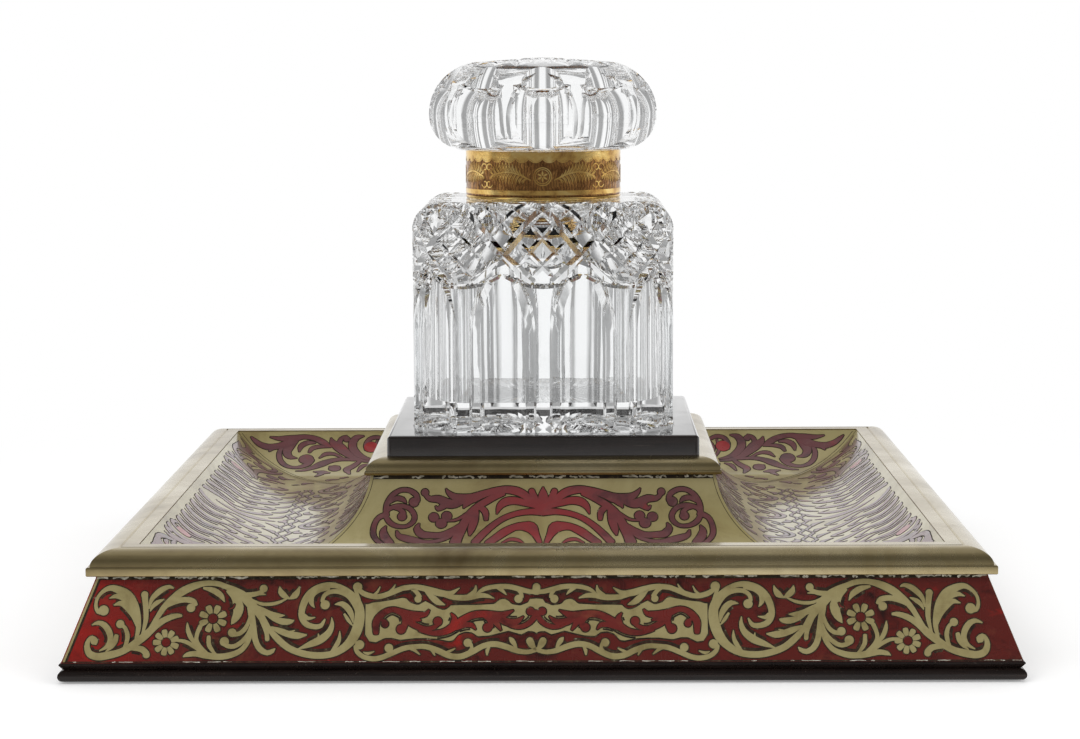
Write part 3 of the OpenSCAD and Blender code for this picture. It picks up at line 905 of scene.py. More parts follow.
RIM_BRASS = Brass("rim_brass", light=shade(190, 176, 138), tone=shade(166, 149, 106),
                  tarnish=shade(130, 111, 74),
                  metal=0.96, rough=0.24, patch=18, tarnished=0.25, scratch=0.0, crossed=0.0, polish=0.5,
                  relief=0.08)
GILT = Brass("gilt_brass", light=shade(250, 222, 150), tone=shade(228, 186, 108),
             tarnish=shade(160, 112, 62),
             metal=1.0, rough=0.09, patch=120, tarnished=0.3, scratch=0.3)
GILT_GROUND = Brass("gilt_ground", light=shade(196, 148, 88), tone=shade(158, 112, 66),
                    tarnish=shade(100, 68, 42),
                    metal=1.0, rough=0.16, patch=260, tarnished=0.5, scratch=0.3, engraved=0.6)
CHALK = Brass("chipped_edge", light=shade(226, 224, 212), tone=shade(186, 183, 166),
              tarnish=shade(96, 88, 68),
              metal=0.0, rough=0.7, patch=500, tarnished=0.5, scratch=0.0)
FILLER_AND_SHADE = Mastic()
GLASS = CutGlass()
LID_GLASS = CutGlass("lid_glass", wave=0.04)
STEEL = Steel()
BAIZE = Baize()


# modelling helpers


def pick_only(piece: bpy.types.Object) -> None:
    """Makes a piece the only selected and active one.

    Args:
        piece: What is selected.
    """
    bpy.ops.object.select_all(action="DESELECT")
    piece.select_set(True)
    bpy.context.view_layer.objects.active = piece


def wear(piece: bpy.types.Object, *finishes: Finish) -> None:
    """Gives a piece its finishes, one to each material slot.

    Args:
        piece: What is dressed.
        finishes: Its finishes, in the order of its slots.
    """
    piece.data.materials.clear()
    for finish in finishes:
        piece.data.materials.append(finish.material)


def settle(piece: bpy.types.Object, body: str, slot: str, *nodes: str) -> bpy.types.Object:
    """Fastens a finished piece to its body, and lets it stand for nodes.

    Args:
        piece: The finished piece.
        body: The body it rides on.
        slot: Not used.
        nodes: The nodes that it stands for.

    Returns:
        The piece.
    """
    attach(piece, body)
    if nodes:
        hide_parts(*nodes)
    log.info("%s: %d faces", piece.name, len(piece.data.polygons))
    return piece


def copy_of(piece: bpy.types.Object, name: str, turn: Matrix | None = None) -> bpy.types.Object:
    """Copies a piece with a mesh of its own, turned if asked.

    Args:
        piece: What is copied.
        name: The copy's name.
        turn: The turn, if there is one.

    Returns:
        The copy.
    """
    twin = piece.copy()
    twin.data = piece.data.copy()
    twin.name = name
    twin.data.name = name
    bpy.context.scene.collection.objects.link(twin)
    if turn is not None:
        twin.data.transform(turn)
    return twin


def merged_copy(node: bpy.types.Object, name: str) -> bpy.types.Object:
    """Copies a frame node as a free piece whose loose triangles are merged.

    Args:
        node: The frame's node.
        name: The new piece's name.

    Returns:
        The new piece.
    """
    twin = bpy.data.objects.new(name, node.data.copy())
    twin.data.name = name
    bpy.context.scene.collection.objects.link(twin)
    pick_only(twin)
    if twin.data.has_custom_normals:
        bpy.ops.mesh.customdata_custom_splitnormals_clear()
    bpy.ops.object.mode_set(mode="EDIT")
    bpy.ops.mesh.select_all(action="SELECT")
    bpy.ops.mesh.remove_doubles(threshold=2e-6)
    bpy.ops.mesh.tris_convert_to_quads(face_threshold=math.radians(1), shape_threshold=math.radians(180))
    bpy.ops.object.mode_set(mode="OBJECT")
    return twin


def smooth(piece: bpy.types.Object, angle: float) -> None:
    """Shades a piece smooth across edges flatter than an angle in degrees."""
    pick_only(piece)
    bpy.ops.object.shade_smooth_by_angle(angle=math.radians(angle))


def from_parts(name: str, points: list[Vector], faces: list[tuple[int, ...]]) -> bpy.types.Object:
    """Makes a piece from points and faces, with its faces turned outward.

    Args:
        name: The piece's name.
        points: Its points in metres.
        faces: Each face's points by number.

    Returns:
        The piece.
    """
    mesh = bpy.data.meshes.new(name)
    mesh.from_pydata(points, [], faces)
    piece = bpy.data.objects.new(name, mesh)
    bpy.context.scene.collection.objects.link(piece)
    pick_only(piece)
    bpy.ops.object.mode_set(mode="EDIT")
    bpy.ops.mesh.select_all(action="SELECT")
    bpy.ops.mesh.normals_make_consistent(inside=False)
    bpy.ops.object.mode_set(mode="OBJECT")
    return piece


def cut_away(piece: bpy.types.Object, cutter: bpy.types.Object) -> None:
    """Cuts one closed piece by another and deletes the cutter.

    Args:
        piece: What is cut.
        cutter: What is taken away from it.
    """
    pick_only(piece)
    cut = piece.modifiers.new("cut", "BOOLEAN")
    cut.operation = "DIFFERENCE"
    cut.solver = "MANIFOLD"
    cut.object = cutter
    before = len(piece.data.polygons)
    bpy.ops.object.modifier_apply(modifier=cut.name)
    if len(piece.data.polygons) == before:
        log.warning("%s: the cut by %s changed nothing", piece.name, cutter.name)
    bpy.data.objects.remove(cutter)


def arc(centre: Spot, radius: float, start: float, end: float, steps: int) -> list[Spot]:
    """Points of an arc about a centre, between two angles in degrees."""
    angles = [math.radians(start + (end - start) * i / steps) for i in range(steps + 1)]
    return [(centre[0] + radius * math.cos(a), centre[1] + radius * math.sin(a)) for a in angles]


def mitred_length(name: str, outline: list[Spot], reach: float) -> bpy.types.Object:
    """Draws a profile, runs it along the front side and cuts its two mitres.

    Args:
        name: The piece's name.
        outline: The closed profile, each point as (t, z) in millimetres.
        reach: Half of the length before the mitres are cut, in millimetres.

    Returns:
        The piece at the front of the stand.
    """
    bpy.ops.object.select_all(action="DESELECT")
    bpy.ops.mesh.primitive_circle_add(vertices=len(outline), radius=MM, fill_type="NGON")
    piece = bpy.context.object
    piece.name = piece.data.name = name
    for vertex, (t, z) in zip(piece.data.vertices, outline):
        vertex.co = (-reach * MM, -t * MM, z * MM)
    bpy.ops.object.mode_set(mode="EDIT")
    bpy.ops.mesh.select_all(action="SELECT")
    bpy.ops.mesh.extrude_region_move(TRANSFORM_OT_translate={"value": (2 * reach * MM, 0, 0)})
    for side in (-1, 1):
        bpy.ops.mesh.select_all(action="SELECT")
        bpy.ops.mesh.bisect(plane_co=(0, 0, 0), plane_no=(side * math.sqrt(0.5), math.sqrt(0.5), 0),
                            use_fill=True,
                            clear_outer=True, threshold=1e-7)
    bpy.ops.mesh.select_all(action="SELECT")
    bpy.ops.mesh.normals_make_consistent(inside=False)
    bpy.ops.object.mode_set(mode="OBJECT")
    return piece


def spline(points: list[tuple[float, ...]], step: float) -> list[tuple[float, ...]]:
    """Runs a smooth curve through points.

    Args:
        points: Points of any number of dimensions. The first two set the spacing.
        step: Spacing along the curve.

    Returns:
        Points along the curve, the given ones among them.
    """
    ends = [tuple(2 * a - b for a, b in zip(points[0], points[1]))] + list(points)
    ends.append(tuple(2 * a - b for a, b in zip(points[-1], points[-2])))
    out: list[tuple[float, ...]] = []
    for i in range(1, len(ends) - 2):
        before, here, there, after = ends[i - 1:i + 3]
        count = max(1, math.ceil(math.dist(here[:2], there[:2]) / step))
        for j in range(count):
            u = j / count
            out.append(tuple(
                0.5 * (2 * b + (c - a) * u + (2 * a - 5 * b + 4 * c - d) * u * u
                       + (3 * b - a - 3 * c + d) * u ** 3)
                for a, b, c, d in zip(before, here, there, after)))
    out.append(points[-1])
    return out


@dataclass
class Inlay:
    """Flat plates let into a surface, gathered as one mesh of closed plates.

    Attributes:
        place: Turns (along, up, lift) in millimetres into a point of the front side in metres.
        keep: Brings a spot back inside the surface.
        points: The plates' points so far.
        faces: The plates' faces so far.
        marks: Each face's finish.
        root: How far the plates reach below the surface.
        line: Width of the dark line round each plate.
        step: Spacing of points along a ribbon.
        echo: Distance of the fine line that follows each broad ribbon, or 0 for none.
        echo_w: Width of that line.
        stagger: Step in height that keeps the faces of crossing plates apart.
    """

    place: Callable[[float, float, float], Vector]
    keep: Callable[[float, float], Spot] = lambda along, up: (along, up)
    points: list[Vector] = field(default_factory=list)
    faces: list[tuple[int, ...]] = field(default_factory=list)
    marks: list[int] = field(default_factory=list)
    root: float = -0.1
    line: float = 0.34
    step: float = 1.0
    echo: float = 0.0
    echo_w: float = 0.55
    stagger: float = 0.003

    def strip(self, left: list[Spot], right: list[Spot], lift: float, mark: Mark) -> None:
        """Adds a closed plate between two rows of spots.

        Args:
            left: One edge.
            right: The other edge, with as many spots.
            lift: Height of the plate's face over the surface.
            mark: What it is cut from.
        """
        base = len(self.points)
        for a, b in zip(left, right):
            a, b = self.keep(*a), self.keep(*b)
            self.points += [self.place(*a, lift), self.place(*b, lift), self.place(*b, self.root),
                            self.place(*a, self.root)]
        count = len(left)
        faces = [(base, base + 1, base + 2, base + 3)]
        for i in range(count - 1):
            n = base + 4 * i
            faces += [(n + k, n + (k + 1) % 4, n + 4 + (k + 1) % 4, n + 4 + k) for k in range(4)]
        n = base + 4 * (count - 1)
        faces.append((n, n + 1, n + 2, n + 3))
        self.faces += faces
        self.marks += [mark.value] * len(faces)

    def ribbon(self, path: list[tuple[float, ...]], lift: float, mark: Mark, wider: float = 0.0) -> None:
        """Adds a ribbon of changing width with rounded ends.

        Args:
            path: Points along the ribbon: along, up, width.
            lift: Height of its face.
            mark: What it is cut from.
            wider: How much to add at each side.
        """
        row = spline(path, self.step)
        first, last = row[0], row[-1]
        ends = []
        for end, near in ((first, row[1]), (last, row[-2])):
            length = math.dist(end[:2], near[:2]) or 1.0
            ends.append(((end[0] - near[0]) / length, (end[1] - near[1]) / length))
        half = [max(p[2], 0.1) / 2 + wider for p in row]
        spots = [(p[0], p[1]) for p in row]
        for out, share in ((0.6, 0.8), (0.95, 0.32)):
            spots.insert(0, (first[0] + ends[0][0] * half[0] * out, first[1] + ends[0][1] * half[0] * out))
            half.insert(0, half[0] * share if out < 0.7 else half[1] * share)
            spots.append((last[0] + ends[1][0] * half[-1] * out, last[1] + ends[1][1] * half[-1] * out))
            half.append(half[-1] * share if out < 0.7 else half[-2] * share)
        left, right = [], []
        for i, (x, v) in enumerate(spots):
            ahead, behind = spots[min(i + 1, len(spots) - 1)], spots[max(i - 1, 0)]
            dx, dv = ahead[0] - behind[0], ahead[1] - behind[1]
            length = math.hypot(dx, dv) or 1.0
            nx, nv = -dv / length * half[i], dx / length * half[i]
            left.append((x + nx, v + nv))
            right.append((x - nx, v - nv))
        self.strip(left, right, lift, mark)

    def disc(self, centre: Spot, across: float, lift: float, mark: Mark, corners: int = 16) -> None:
        """Adds a round plate.

        Args:
            centre: Where its middle lies.
            across: Its diameter.
            lift: Height of its face.
            mark: What it is cut from.
            corners: Number of its corners.
        """
        base = len(self.points)
        for height in (lift, self.root):
            for i in range(corners):
                angle = 2 * math.pi * i / corners
                spot = self.keep(centre[0] + across / 2 * math.cos(angle),
                                 centre[1] + across / 2 * math.sin(angle))
                self.points.append(self.place(*spot, height))
        faces: list[tuple[int, ...]] = [tuple(range(base, base + corners)),
                                        tuple(range(base + corners, base + 2 * corners))]
        for i in range(corners):
            j = (i + 1) % corners
            faces.append((base + i, base + j, base + corners + j, base + corners + i))
        self.faces += faces
        self.marks += [mark.value] * len(faces)

    def echo_line(self, row: list[tuple[float, ...]], lift: float) -> None:
        """Adds the fine dark line that follows the hollow side of a broad ribbon.

        Args:
            row: The ribbon's points.
            lift: Height of its face.
        """
        widest = max(p[2] for p in row)
        if len(row) < 3 or widest < 1.2:
            return
        (ax, av), (bx, bv), (cx, cv) = row[0][:2], row[len(row) // 2][:2], row[-1][:2]
        turn = (bx - ax) * (cv - bv) - (bv - av) * (cx - bx)
        side = 1 if turn > 0 else -1
        path = spline(row, self.step)
        out = []
        for i in range(len(path) // 5, len(path) * 4 // 5):
            dx, dv = path[i + 1][0] - path[i - 1][0], path[i + 1][1] - path[i - 1][1]
            length = math.hypot(dx, dv) or 1.0
            reach = side * (path[i][2] / 2 + self.echo)
            out.append((path[i][0] - dv / length * reach, path[i][1] + dx / length * reach, self.echo_w))
        if len(out) > 2:
            self.ribbon(out, lift, Mark.LINE)

    def daisy(self, centre: Spot, across: float, petals: int, lift: float) -> None:
        """Adds a brass daisy: round petals about a dark red eye.

        Args:
            centre: Where its middle lies.
            across: Its diameter.
            petals: Number of petals.
            lift: Height of its face.
        """
        for i in range(petals):
            angle = 2 * math.pi * (i + 0.5) / petals
            row = [(centre[0] + r * across * math.cos(angle), centre[1] + r * across * math.sin(angle),
                    w * across)
                   for r, w in ((0.14, 0.08), (0.3, 0.2), (0.42, 0.22))]
            self.ribbon(row, lift, Mark.LINE, self.line)
            self.ribbon(row, lift + 0.05, Mark.BRASS)
        self.disc(centre, across * 0.4, lift + 0.08, Mark.LINE)
        self.disc(centre, across * 0.32, lift + 0.11, Mark.RED)

    def draw(self, strokes: Iterable[Stroke], lift: float) -> None:
        """Adds strokes, each over a slightly wider dark line.

        Args:
            strokes: Kinds and points.
            lift: Height of the dark lines. The plates stand a little over them.
        """
        marks = {"b": Mark.BRASS, "s": Mark.SHELL}
        base = lift
        for number, (kind, row) in enumerate(strokes):
            lift = base + self.stagger * (number % 11)
            mark = Mark.RED if kind == "sr" else marks[kind[0]]
            if kind == "bf":
                self.daisy(row[0][:2], row[0][2], 9 if row[0][2] < 8 else 8, lift)
            elif kind in ("bd", "sd", "sr"):
                self.disc(row[0][:2], row[0][2] + 2 * self.line, lift, Mark.LINE)
                self.disc(row[0][:2], row[0][2], lift + 0.05, mark)
            else:
                self.ribbon(row, lift, Mark.LINE, self.line)
                self.ribbon(row, lift + 0.05, mark)
                if self.echo:
                    self.echo_line(row, lift - 0.015)

    def piece(self, name: str, *finishes: Finish) -> bpy.types.Object:
        """Makes the gathered plates one piece with a finish for each mark.

        Args:
            name: The piece's name.
            finishes: A finish for each mark.

        Returns:
            The piece.
        """
        made = from_parts(name, self.points, self.faces)
        wear(made, *finishes)
        made.data.polygons.foreach_set("material_index", self.marks)
        return made


# the stand


@dataclass
class Stand:
    """The square stand: base, inlaid sides, brass rim, coved tray and pedestal. Sizes in millimetres."""

    base_back_t: float = 128.0
    edge_t: float = 140.0
    baize_t: float = 0.5
    base_top: float = 6.1
    upper_tier_h: float = 2.2
    upper_step: float = 0.4
    upper_edge_r: float = 0.6
    panel_foot_t: float = 139.0
    panel_head_t: float = 129.6
    side_top: float = 30.1
    crest_z: float = 37.3
    rim_edge_t: float = 132.4
    rim_in_t: float = 118.9
    rim_band_w: float = 5.2
    rim_band_t: float = 1.8
    rim_bead_h: float = 2.7
    rim_step: float = 1.0
    rim_groove: float = 0.4
    pedestal_t: float = 54.9
    flare_run: float = 29.1
    pedestal_rise: float = 24.9
    floor_z: float = 22.7
    floor_w: float = 4.0
    lip_z: float = 36.9
    sheet_t: float = 1.2
    mould_over: float = 2.0
    mould_in_t: float = 45.9
    pedestal_top: float = 47.6
    plinth_z: float = 52.8
    plinth_t: float = 50.1
    ped_bead_h: float = 1.7
    design_shift: float = -1.4
    cove: list[tuple[float, float, float, float, float]] = field(default_factory=list)

    def __post_init__(self) -> None:
        """Works out the tray's curve as rows of (way along it, t, z, normal's t, normal's z)."""
        way = 0.0
        last = None
        for t, z, nt, nz in self.cove_line():
            if last is not None:
                way += math.dist(last, (t, z))
            last = (t, z)
            self.cove.append((way, t, z, nt, nz))

    @property
    def panel_slope(self) -> float:
        """Length of a sloping side up its slope."""
        return math.hypot(self.panel_foot_t - self.panel_head_t, self.side_top - self.base_top)

    def cove_line(self, sink: float = 0.0, steps: int = 36) -> list[tuple[float, float, float, float]]:
        """Points of the tray's curve from the pedestal's top edge out to the rim.

        Args:
            sink: How far the curve lies below the tray's face.
            steps: Number of steps in each of its two arcs.

        Returns:
            Rows of (t, z, normal's t, normal's z).
        """
        flare_r = (self.flare_run ** 2 + self.pedestal_rise ** 2) / (2 * self.pedestal_rise)
        flare_foot = self.pedestal_t + self.flare_run
        sweep_foot = flare_foot + self.floor_w
        run, rise = self.rim_in_t - sweep_foot, self.lip_z - self.floor_z
        sweep_r = (run * run + rise * rise) / (2 * rise)
        start = 180 - math.degrees(math.asin((self.pedestal_rise - flare_r) / (flare_r + sink)))
        end = 360 - math.degrees(math.acos(run / (sweep_r + sink)))
        rows = []
        for centre, radius, low, high in (((flare_foot, self.floor_z + flare_r), flare_r + sink, start, 270),
                                          ((sweep_foot, self.floor_z + sweep_r), sweep_r + sink, 270, end)):
            for t, z in arc(centre, radius, low, high, steps):
                rows.append((t, z, (centre[0] - t) / radius, (centre[1] - z) / radius))
        return rows

    def on_panel(self, along: float, up: float, lift: float) -> Vector:
        """A point of the front sloping side.

        Args:
            along: Way along it from the design's middle.
            up: Way up its slope.
            lift: Height over its face.

        Returns:
            The point in metres.
        """
        share = up / self.panel_slope
        run, rise = self.panel_foot_t - self.panel_head_t, self.side_top - self.base_top
        nt, nz = rise / self.panel_slope, run / self.panel_slope
        t = self.panel_foot_t - run * share + nt * lift
        return Vector(((along + self.design_shift) * MM, -t * MM,
                       (self.base_top + rise * share + nz * lift) * MM))

    def on_cove(self, along: float, way: float, lift: float) -> Vector:
        """A point of the front tray sheet.

        Args:
            along: Way along it from its middle.
            way: Way down the curve from the pedestal's top.
            lift: Height over its face.

        Returns:
            The point in metres.
        """
        way = min(max(way, 0.0), self.cove[-1][0])
        low = next((i for i in range(len(self.cove) - 1) if self.cove[i + 1][0] >= way), len(self.cove) - 2)
        a, b = self.cove[low], self.cove[low + 1]
        share = (way - a[0]) / ((b[0] - a[0]) or 1.0)
        t, z, nt, nz = (p + (q - p) * share for p, q in zip(a[1:], b[1:]))
        return Vector((along * MM, -(t + nt * lift) * MM, (z + nz * lift) * MM))

    def inside_cove(self, along: float, way: float) -> Spot:
        """Brings a spot back between the tray's two mitres.

        Args:
            along: Way along the sheet.
            way: Way down its curve.

        Returns:
            The spot, moved where it has to be.
        """
        way = min(max(way, 0.1), self.cove[-1][0] - 0.5)
        room = -self.on_cove(0, way, 0).y / MM - 0.9
        return min(max(along, -room), room), way

    def inside_panel(self, along: float, up: float) -> Spot:
        """Brings a spot back between the sloping side's ends.

        Args:
            along: Way along the side.
            up: Way up its slope.

        Returns:
            The spot, moved where it has to be.
        """
        up = min(max(up, 0.12), self.panel_slope - 0.1)
        room = self.panel_foot_t - (self.panel_foot_t - self.panel_head_t) * up / self.panel_slope - 0.35
        return min(max(along, -room - self.design_shift), room - self.design_shift), up

    def base_profile(self) -> list[Spot]:
        """Rounded lower tier, and a narrow upper tier with a softened edge.

        Returns:
            The closed outline.
        """
        nose = (self.base_top - self.baize_t - self.upper_tier_h) / 2
        upper_t = self.edge_t - self.upper_step - self.upper_edge_r
        return ([(self.base_back_t, self.baize_t)]
                + arc((self.edge_t - nose, self.baize_t + nose), nose, -90, 90, 14)
                + arc((upper_t, self.base_top - self.upper_edge_r), self.upper_edge_r, 0, 90, 6)
                + [(self.base_back_t, self.base_top)])

    def rim_profile(self) -> list[Spot]:
        """Upright bead, flattened round shoulder, groove line and thin flat inner band.

        Returns:
            The closed outline.
        """
        band_t = self.rim_in_t + self.rim_band_w
        shoulder_t, shoulder_z = self.rim_edge_t - self.rim_step, self.side_top + self.rim_bead_h
        bead = self.rim_step / 2
        back = self.crest_z - self.rim_band_t
        reach, run = shoulder_t - band_t, self.crest_z - shoulder_z
        shoulder = [(band_t + reach * math.cos(a), shoulder_z + run * math.sin(a))
                    for a in (math.pi / 2 * i / 16 for i in range(17))]
        return ([(band_t, back), (band_t, self.side_top)]
                + arc((self.rim_edge_t - bead, self.side_top + bead), bead, -90, 0, 6)
                + arc((self.rim_edge_t - bead, shoulder_z - bead), bead, 0, 90, 6)
                + shoulder
                + [(band_t - self.rim_groove, self.crest_z - self.rim_groove),
                   (band_t - 2 * self.rim_groove, self.crest_z), (self.rim_in_t, self.crest_z),
                   (self.rim_in_t, back)])

    def pedestal_moulding_profile(self) -> list[Spot]:
        """Bead below a round shoulder that runs in to the block.

        Returns:
            The closed outline.
        """
        outer_t, bead = self.pedestal_t + self.mould_over, self.ped_bead_h / 2
        shoulder_z, shoulder_t = self.pedestal_top + self.ped_bead_h, outer_t - bead / 2
        shoulder = [(self.plinth_t + (shoulder_t - self.plinth_t) * math.cos(a),
                     shoulder_z + (self.plinth_z - shoulder_z) * math.sin(a))
                    for a in (math.pi / 2 * i / 16 for i in range(17))]
        return ([(self.mould_in_t, self.pedestal_top)]
                + arc((outer_t - bead, self.pedestal_top + bead), bead, -90, 60, 10)
                + shoulder + [(self.mould_in_t, self.plinth_z)])

    def sheet_profile(self) -> list[Spot]:
        """The tray's thin sheet: its face and its back.

        Returns:
            The closed outline.
        """
        face = [(t, z) for t, z, _, _ in self.cove_line()]
        back = [(t, z) for t, z, _, _ in self.cove_line(self.sheet_t)]
        return face + back[::-1]

    def round_the_stand(self, name: str, outline: list[Spot], node: str, slot: str, finish: Finish,
                        angle: float) -> None:
        """Makes one mitred length for each side in place of the frame's.

        Args:
            name: First part of the pieces' names.
            outline: The profile.
            node: First part of the nodes' names.
            slot: The record's slot.
            finish: What it is made of.
            angle: Edges flatter than this are shaded smooth.
        """
        front = mitred_length(f"{name}_front", outline, self.edge_t + 5)
        wear(front, finish)
        smooth(front, angle)
        for side in Side:
            length = front if side is Side.FRONT else copy_of(front, f"{name}_{side.label}", side.turn)
            settle(length, "stand", slot, f"{node}_{side.label}")

    def panel_inlay(self) -> bpy.types.Object:
        """Brass scrollwork, cartouche and left-hand corner strip of one sloping side.

        Returns:
            The front side's inlay.
        """
        inlay = Inlay(self.on_panel, self.inside_panel, echo=0.7)
        slope = [(-self.panel_foot_t, self.base_top), (-self.panel_head_t, self.side_top)]
        reader = Reader(slope, SIDE_MIDDLE)
        strokes = reader.strokes(END_NOTES, END_CROP) + reader.strokes(INNER_NOTES, INNER_CROP, END_CROP)
        strokes += reader.strokes(MIDDLE_NOTES, MIDDLE_CROP)
        (_, top), (_, bottom) = reader.strokes(CARTOUCHE_NOTES, MIDDLE_CROP)
        scrolls = [stroke for stroke in strokes if stroke[0][0] == "b"]
        inlay.draw(mirrored(scrolls), 0.03)
        for wider, lift, mark in ((0.45, 0.05, Mark.LINE), (0.0, 0.1, Mark.BRASS)):
            self.cartouche(inlay, top, bottom, wider, lift, mark)
        inlay.draw(mirrored(stroke for stroke in strokes if stroke[0][0] == "s"), 0.13)
        for width, inset, lift, mark in ((1.5, 0.9, 0.03, Mark.LINE), (0.75, 0.6, 0.09, Mark.BRASS)):
            ends = [((self.panel_foot_t - self.panel_head_t) * v / self.panel_slope + inset
                     - self.panel_foot_t - self.design_shift, v, width) for v in (0.6, 12.9, 25.1)]
            inlay.ribbon(ends, lift, mark)
        return inlay.piece("panel_inlay_front", FILLER_AND_SHADE, PANEL_BRASS, CARTOUCHE_SHELL, PANEL_SHELL)

    def cartouche(self, inlay: Inlay, top: list[Spot], bottom: list[Spot], wider: float, lift: float,
                  mark: Mark) -> None:
        """Adds the brass field between two edges, whole width.

        Args:
            inlay: What it is added to.
            top: Upper edge of the left half.
            bottom: Lower edge of the left half.
            wider: How much to add all round.
            lift: Height of its face.
            mark: What it is cut from.
        """
        def height(edge: list[Spot], x: float) -> float:
            """Height of an edge over a place along it."""
            for (x0, v0), (x1, v1) in zip(edge, edge[1:]):
                if x0 <= x <= x1:
                    return v0 + (v1 - v0) * (x - x0) / ((x1 - x0) or 1.0)
            return edge[0][1] if x < edge[0][0] else edge[-1][1]

        start = min(top[0][0], bottom[0][0]) - wider
        places = [start * (1 - i / 80) for i in range(81)]
        places += [-x for x in places[-2::-1]]
        inlay.strip([(x, height(top, -abs(x)) + wider) for x in places],
                    [(x, height(bottom, -abs(x)) - wider) for x in places], lift, mark)

    def tray_inlay(self) -> bpy.types.Object:
        """Shell scrollwork of one tray sheet, with the dark line of its mitres.

        Returns:
            The front sheet's inlay.
        """
        inlay = Inlay(self.on_cove, self.inside_cove)
        curve = [(t, z) for t, z, _, _ in self.cove_line(steps=200)]
        flare = Reader([(-t, z) for t, z in curve], FLARE_MIDDLE)
        sweep = Reader(curve, SWEEP_MIDDLE, farthest=True)
        inlay.draw(mirrored(flare.strokes(FLARE_NOTES, FLARE_CROP)), 0.03)
        inlay.draw(mirrored(sweep.strokes(SWEEP_NOTES, SWEEP_CROP)), 0.03)
        inlay.draw(running_scroll(-72, 72, 34.5, 15.0, 8), 0.03)
        fringe: list[Stroke] = []
        for i in range(6):
            x = 6.0 + 10.4 * i
            fringe += [
                ("s", [(x - 3, 77.4, 0.8), (x, 75.8, 3.2), (x + 2.2, 70, 2.4), (x - 1.5, 63, 1.8),
                       (x + 2.5, 56, 2.8),
                       (x + 6, 52.5, 1.2), (x + 7.6, 55.5, 0.8)]),
                ("s", [(x + 3.6, 77.2, 0.6), (x + 5.6, 71.5, 1.5), (x + 2.4, 65, 0.9), (x + 6, 59.5, 1.6),
                       (x + 7.4, 62.5, 0.6)]),
                ("s", [(x + 7.2, 76.5, 0.5), (x + 7.8, 71, 1.1), (x + 5.6, 66, 0.5)]),
                ("s", [(x - 1.2, 52, 0.6), (x + 1.6, 49, 1.8), (x + 5.6, 47.6, 0.6)]),
            ]
        inlay.draw(mirrored(fringe), 0.03)
        for middle in (43.2, 46.0):
            inlay.draw([("s",
                         [(x, middle + 0.9 * math.sin(x * 0.55 + middle), 0.9) for x in range(-66, 67,
                                                                                              3)])], 0.03)
        inlay.draw([("s", [(0, 50, 0.6), (0, 56, 4.2), (0, 64, 3.2), (0, 71, 0.5)]),
                    ("sd", [(0, 47, 3.0)])], 0.03)
        for side in (-1, 1):
            rows = [(side * 200.0, 1.0 + 79.0 * i / 40, 0.35) for i in range(41)]
            inlay.ribbon([(self.inside_cove(x, q)[0], q, w) for x, q, w in rows], 0.04, Mark.LINE)
        return inlay.piece("tray_inlay_front", FILLER_AND_SHADE, TRAY_BRASS, TRAY_SHELL, EYE_SHELL)

    def open_joint(self, name: str, inlay: Inlay, level: float, height: float, span: float,
                   share: float) -> None:
        """Adds the dark open joint over an inlaid face on all four sides, with pale crumbs of old filler.

        Args:
            name: The pieces' name, but for the side.
            inlay: Laid on the face.
            level: Height of the strip on the face.
            height: Its width.
            span: How far it runs to each side.
            share: Share of it that holds crumbs.
        """
        # painted shade: the dark strip that stands for the shade under an overhang or in a crease
        inlay.ribbon([(x, level, height) for x in (-span, 0.0, span)], 0.05, Mark.LINE)
        for side in Side:
            dice = random.Random(f"{name}{side.label}")
            crumbs = Inlay(inlay.place, inlay.keep, list(inlay.points), list(inlay.faces), list(inlay.marks))
            along = -span
            while along < span:
                length = dice.uniform(0.6, 5.5)
                if dice.random() < share:
                    row = [(along + length * i / 4, level + dice.uniform(-0.25, 0.25) * height,
                            dice.uniform(0.15, 0.65) * height) for i in range(5)]
                    crumbs.ribbon(row, 0.11, Mark.BRASS)
                along += length + dice.uniform(0.2, 3.0)
            joint = crumbs.piece(f"{name}_{side.label}", FILLER_AND_SHADE, CHALK)
            joint.data.transform(side.turn)
            settle(joint, "stand", "ebonised_wood")

    def build(self, nodes: dict[str, bpy.types.Object]) -> None:
        """Builds and dresses the stand.

        Args:
            nodes: The frame's nodes by name.
        """
        for name, node in nodes.items():
            for start, finish in (("bottom_board", BARE_WOOD), ("side_rail", BARE_WOOD),
                                  ("cove_rail", BARE_WOOD),
                                  ("pedestal_core", BARE_WOOD), ("side_panel", PANEL_SHELL),
                                  ("board_screws", STEEL),
                                  ("baize_pad", BAIZE)):
                if name.startswith(start):
                    wear(node, finish)
        self.round_the_stand("base_length", self.base_profile(), "base_moulding", "ebonised_wood", EBONY, 35)
        self.round_the_stand("rim_length", self.rim_profile(), "rim_moulding", "aged_brass", RIM_BRASS, 30)
        self.round_the_stand("pedestal_length", self.pedestal_moulding_profile(), "pedestal_moulding",
                             "aged_brass",
                             RIM_BRASS, 30)
        self.round_the_stand("tray_face", self.sheet_profile(), "tray_sheet", "brass_marquetry",
                             TRAY_BRASS, 25)
        # painted shade: dark strips under the rim, at the panels' foot and under the pedestal moulding, with
        # pale crumbs
        self.open_joint("rim_joint", Inlay(self.on_panel, self.inside_panel), 25.05, 1.3, 128.6, 0.92)
        self.open_joint("foot_joint", Inlay(self.on_panel, self.inside_panel), 0.3, 0.35, 137.5, 0.5)
        self.open_joint("pedestal_joint", Inlay(self.on_cove, self.inside_cove), 0.75, 1.3, 54.0, 0.75)
        for front, slot in ((self.panel_inlay(), "shell_marquetry"), (self.tray_inlay(), "brass_marquetry")):
            for side in Side:
                name = front.name.replace("front", side.label)
                settle(front if side is Side.FRONT else copy_of(front, name, side.turn), "stand", slot)
        block = merged_copy(nodes["bottle_plinth"], "block")
        smooth(block, 30)
        wear(block, BLOCK_EBONY)
        settle(block, "stand", "ebonised_wood", "bottle_plinth")


# the bottle


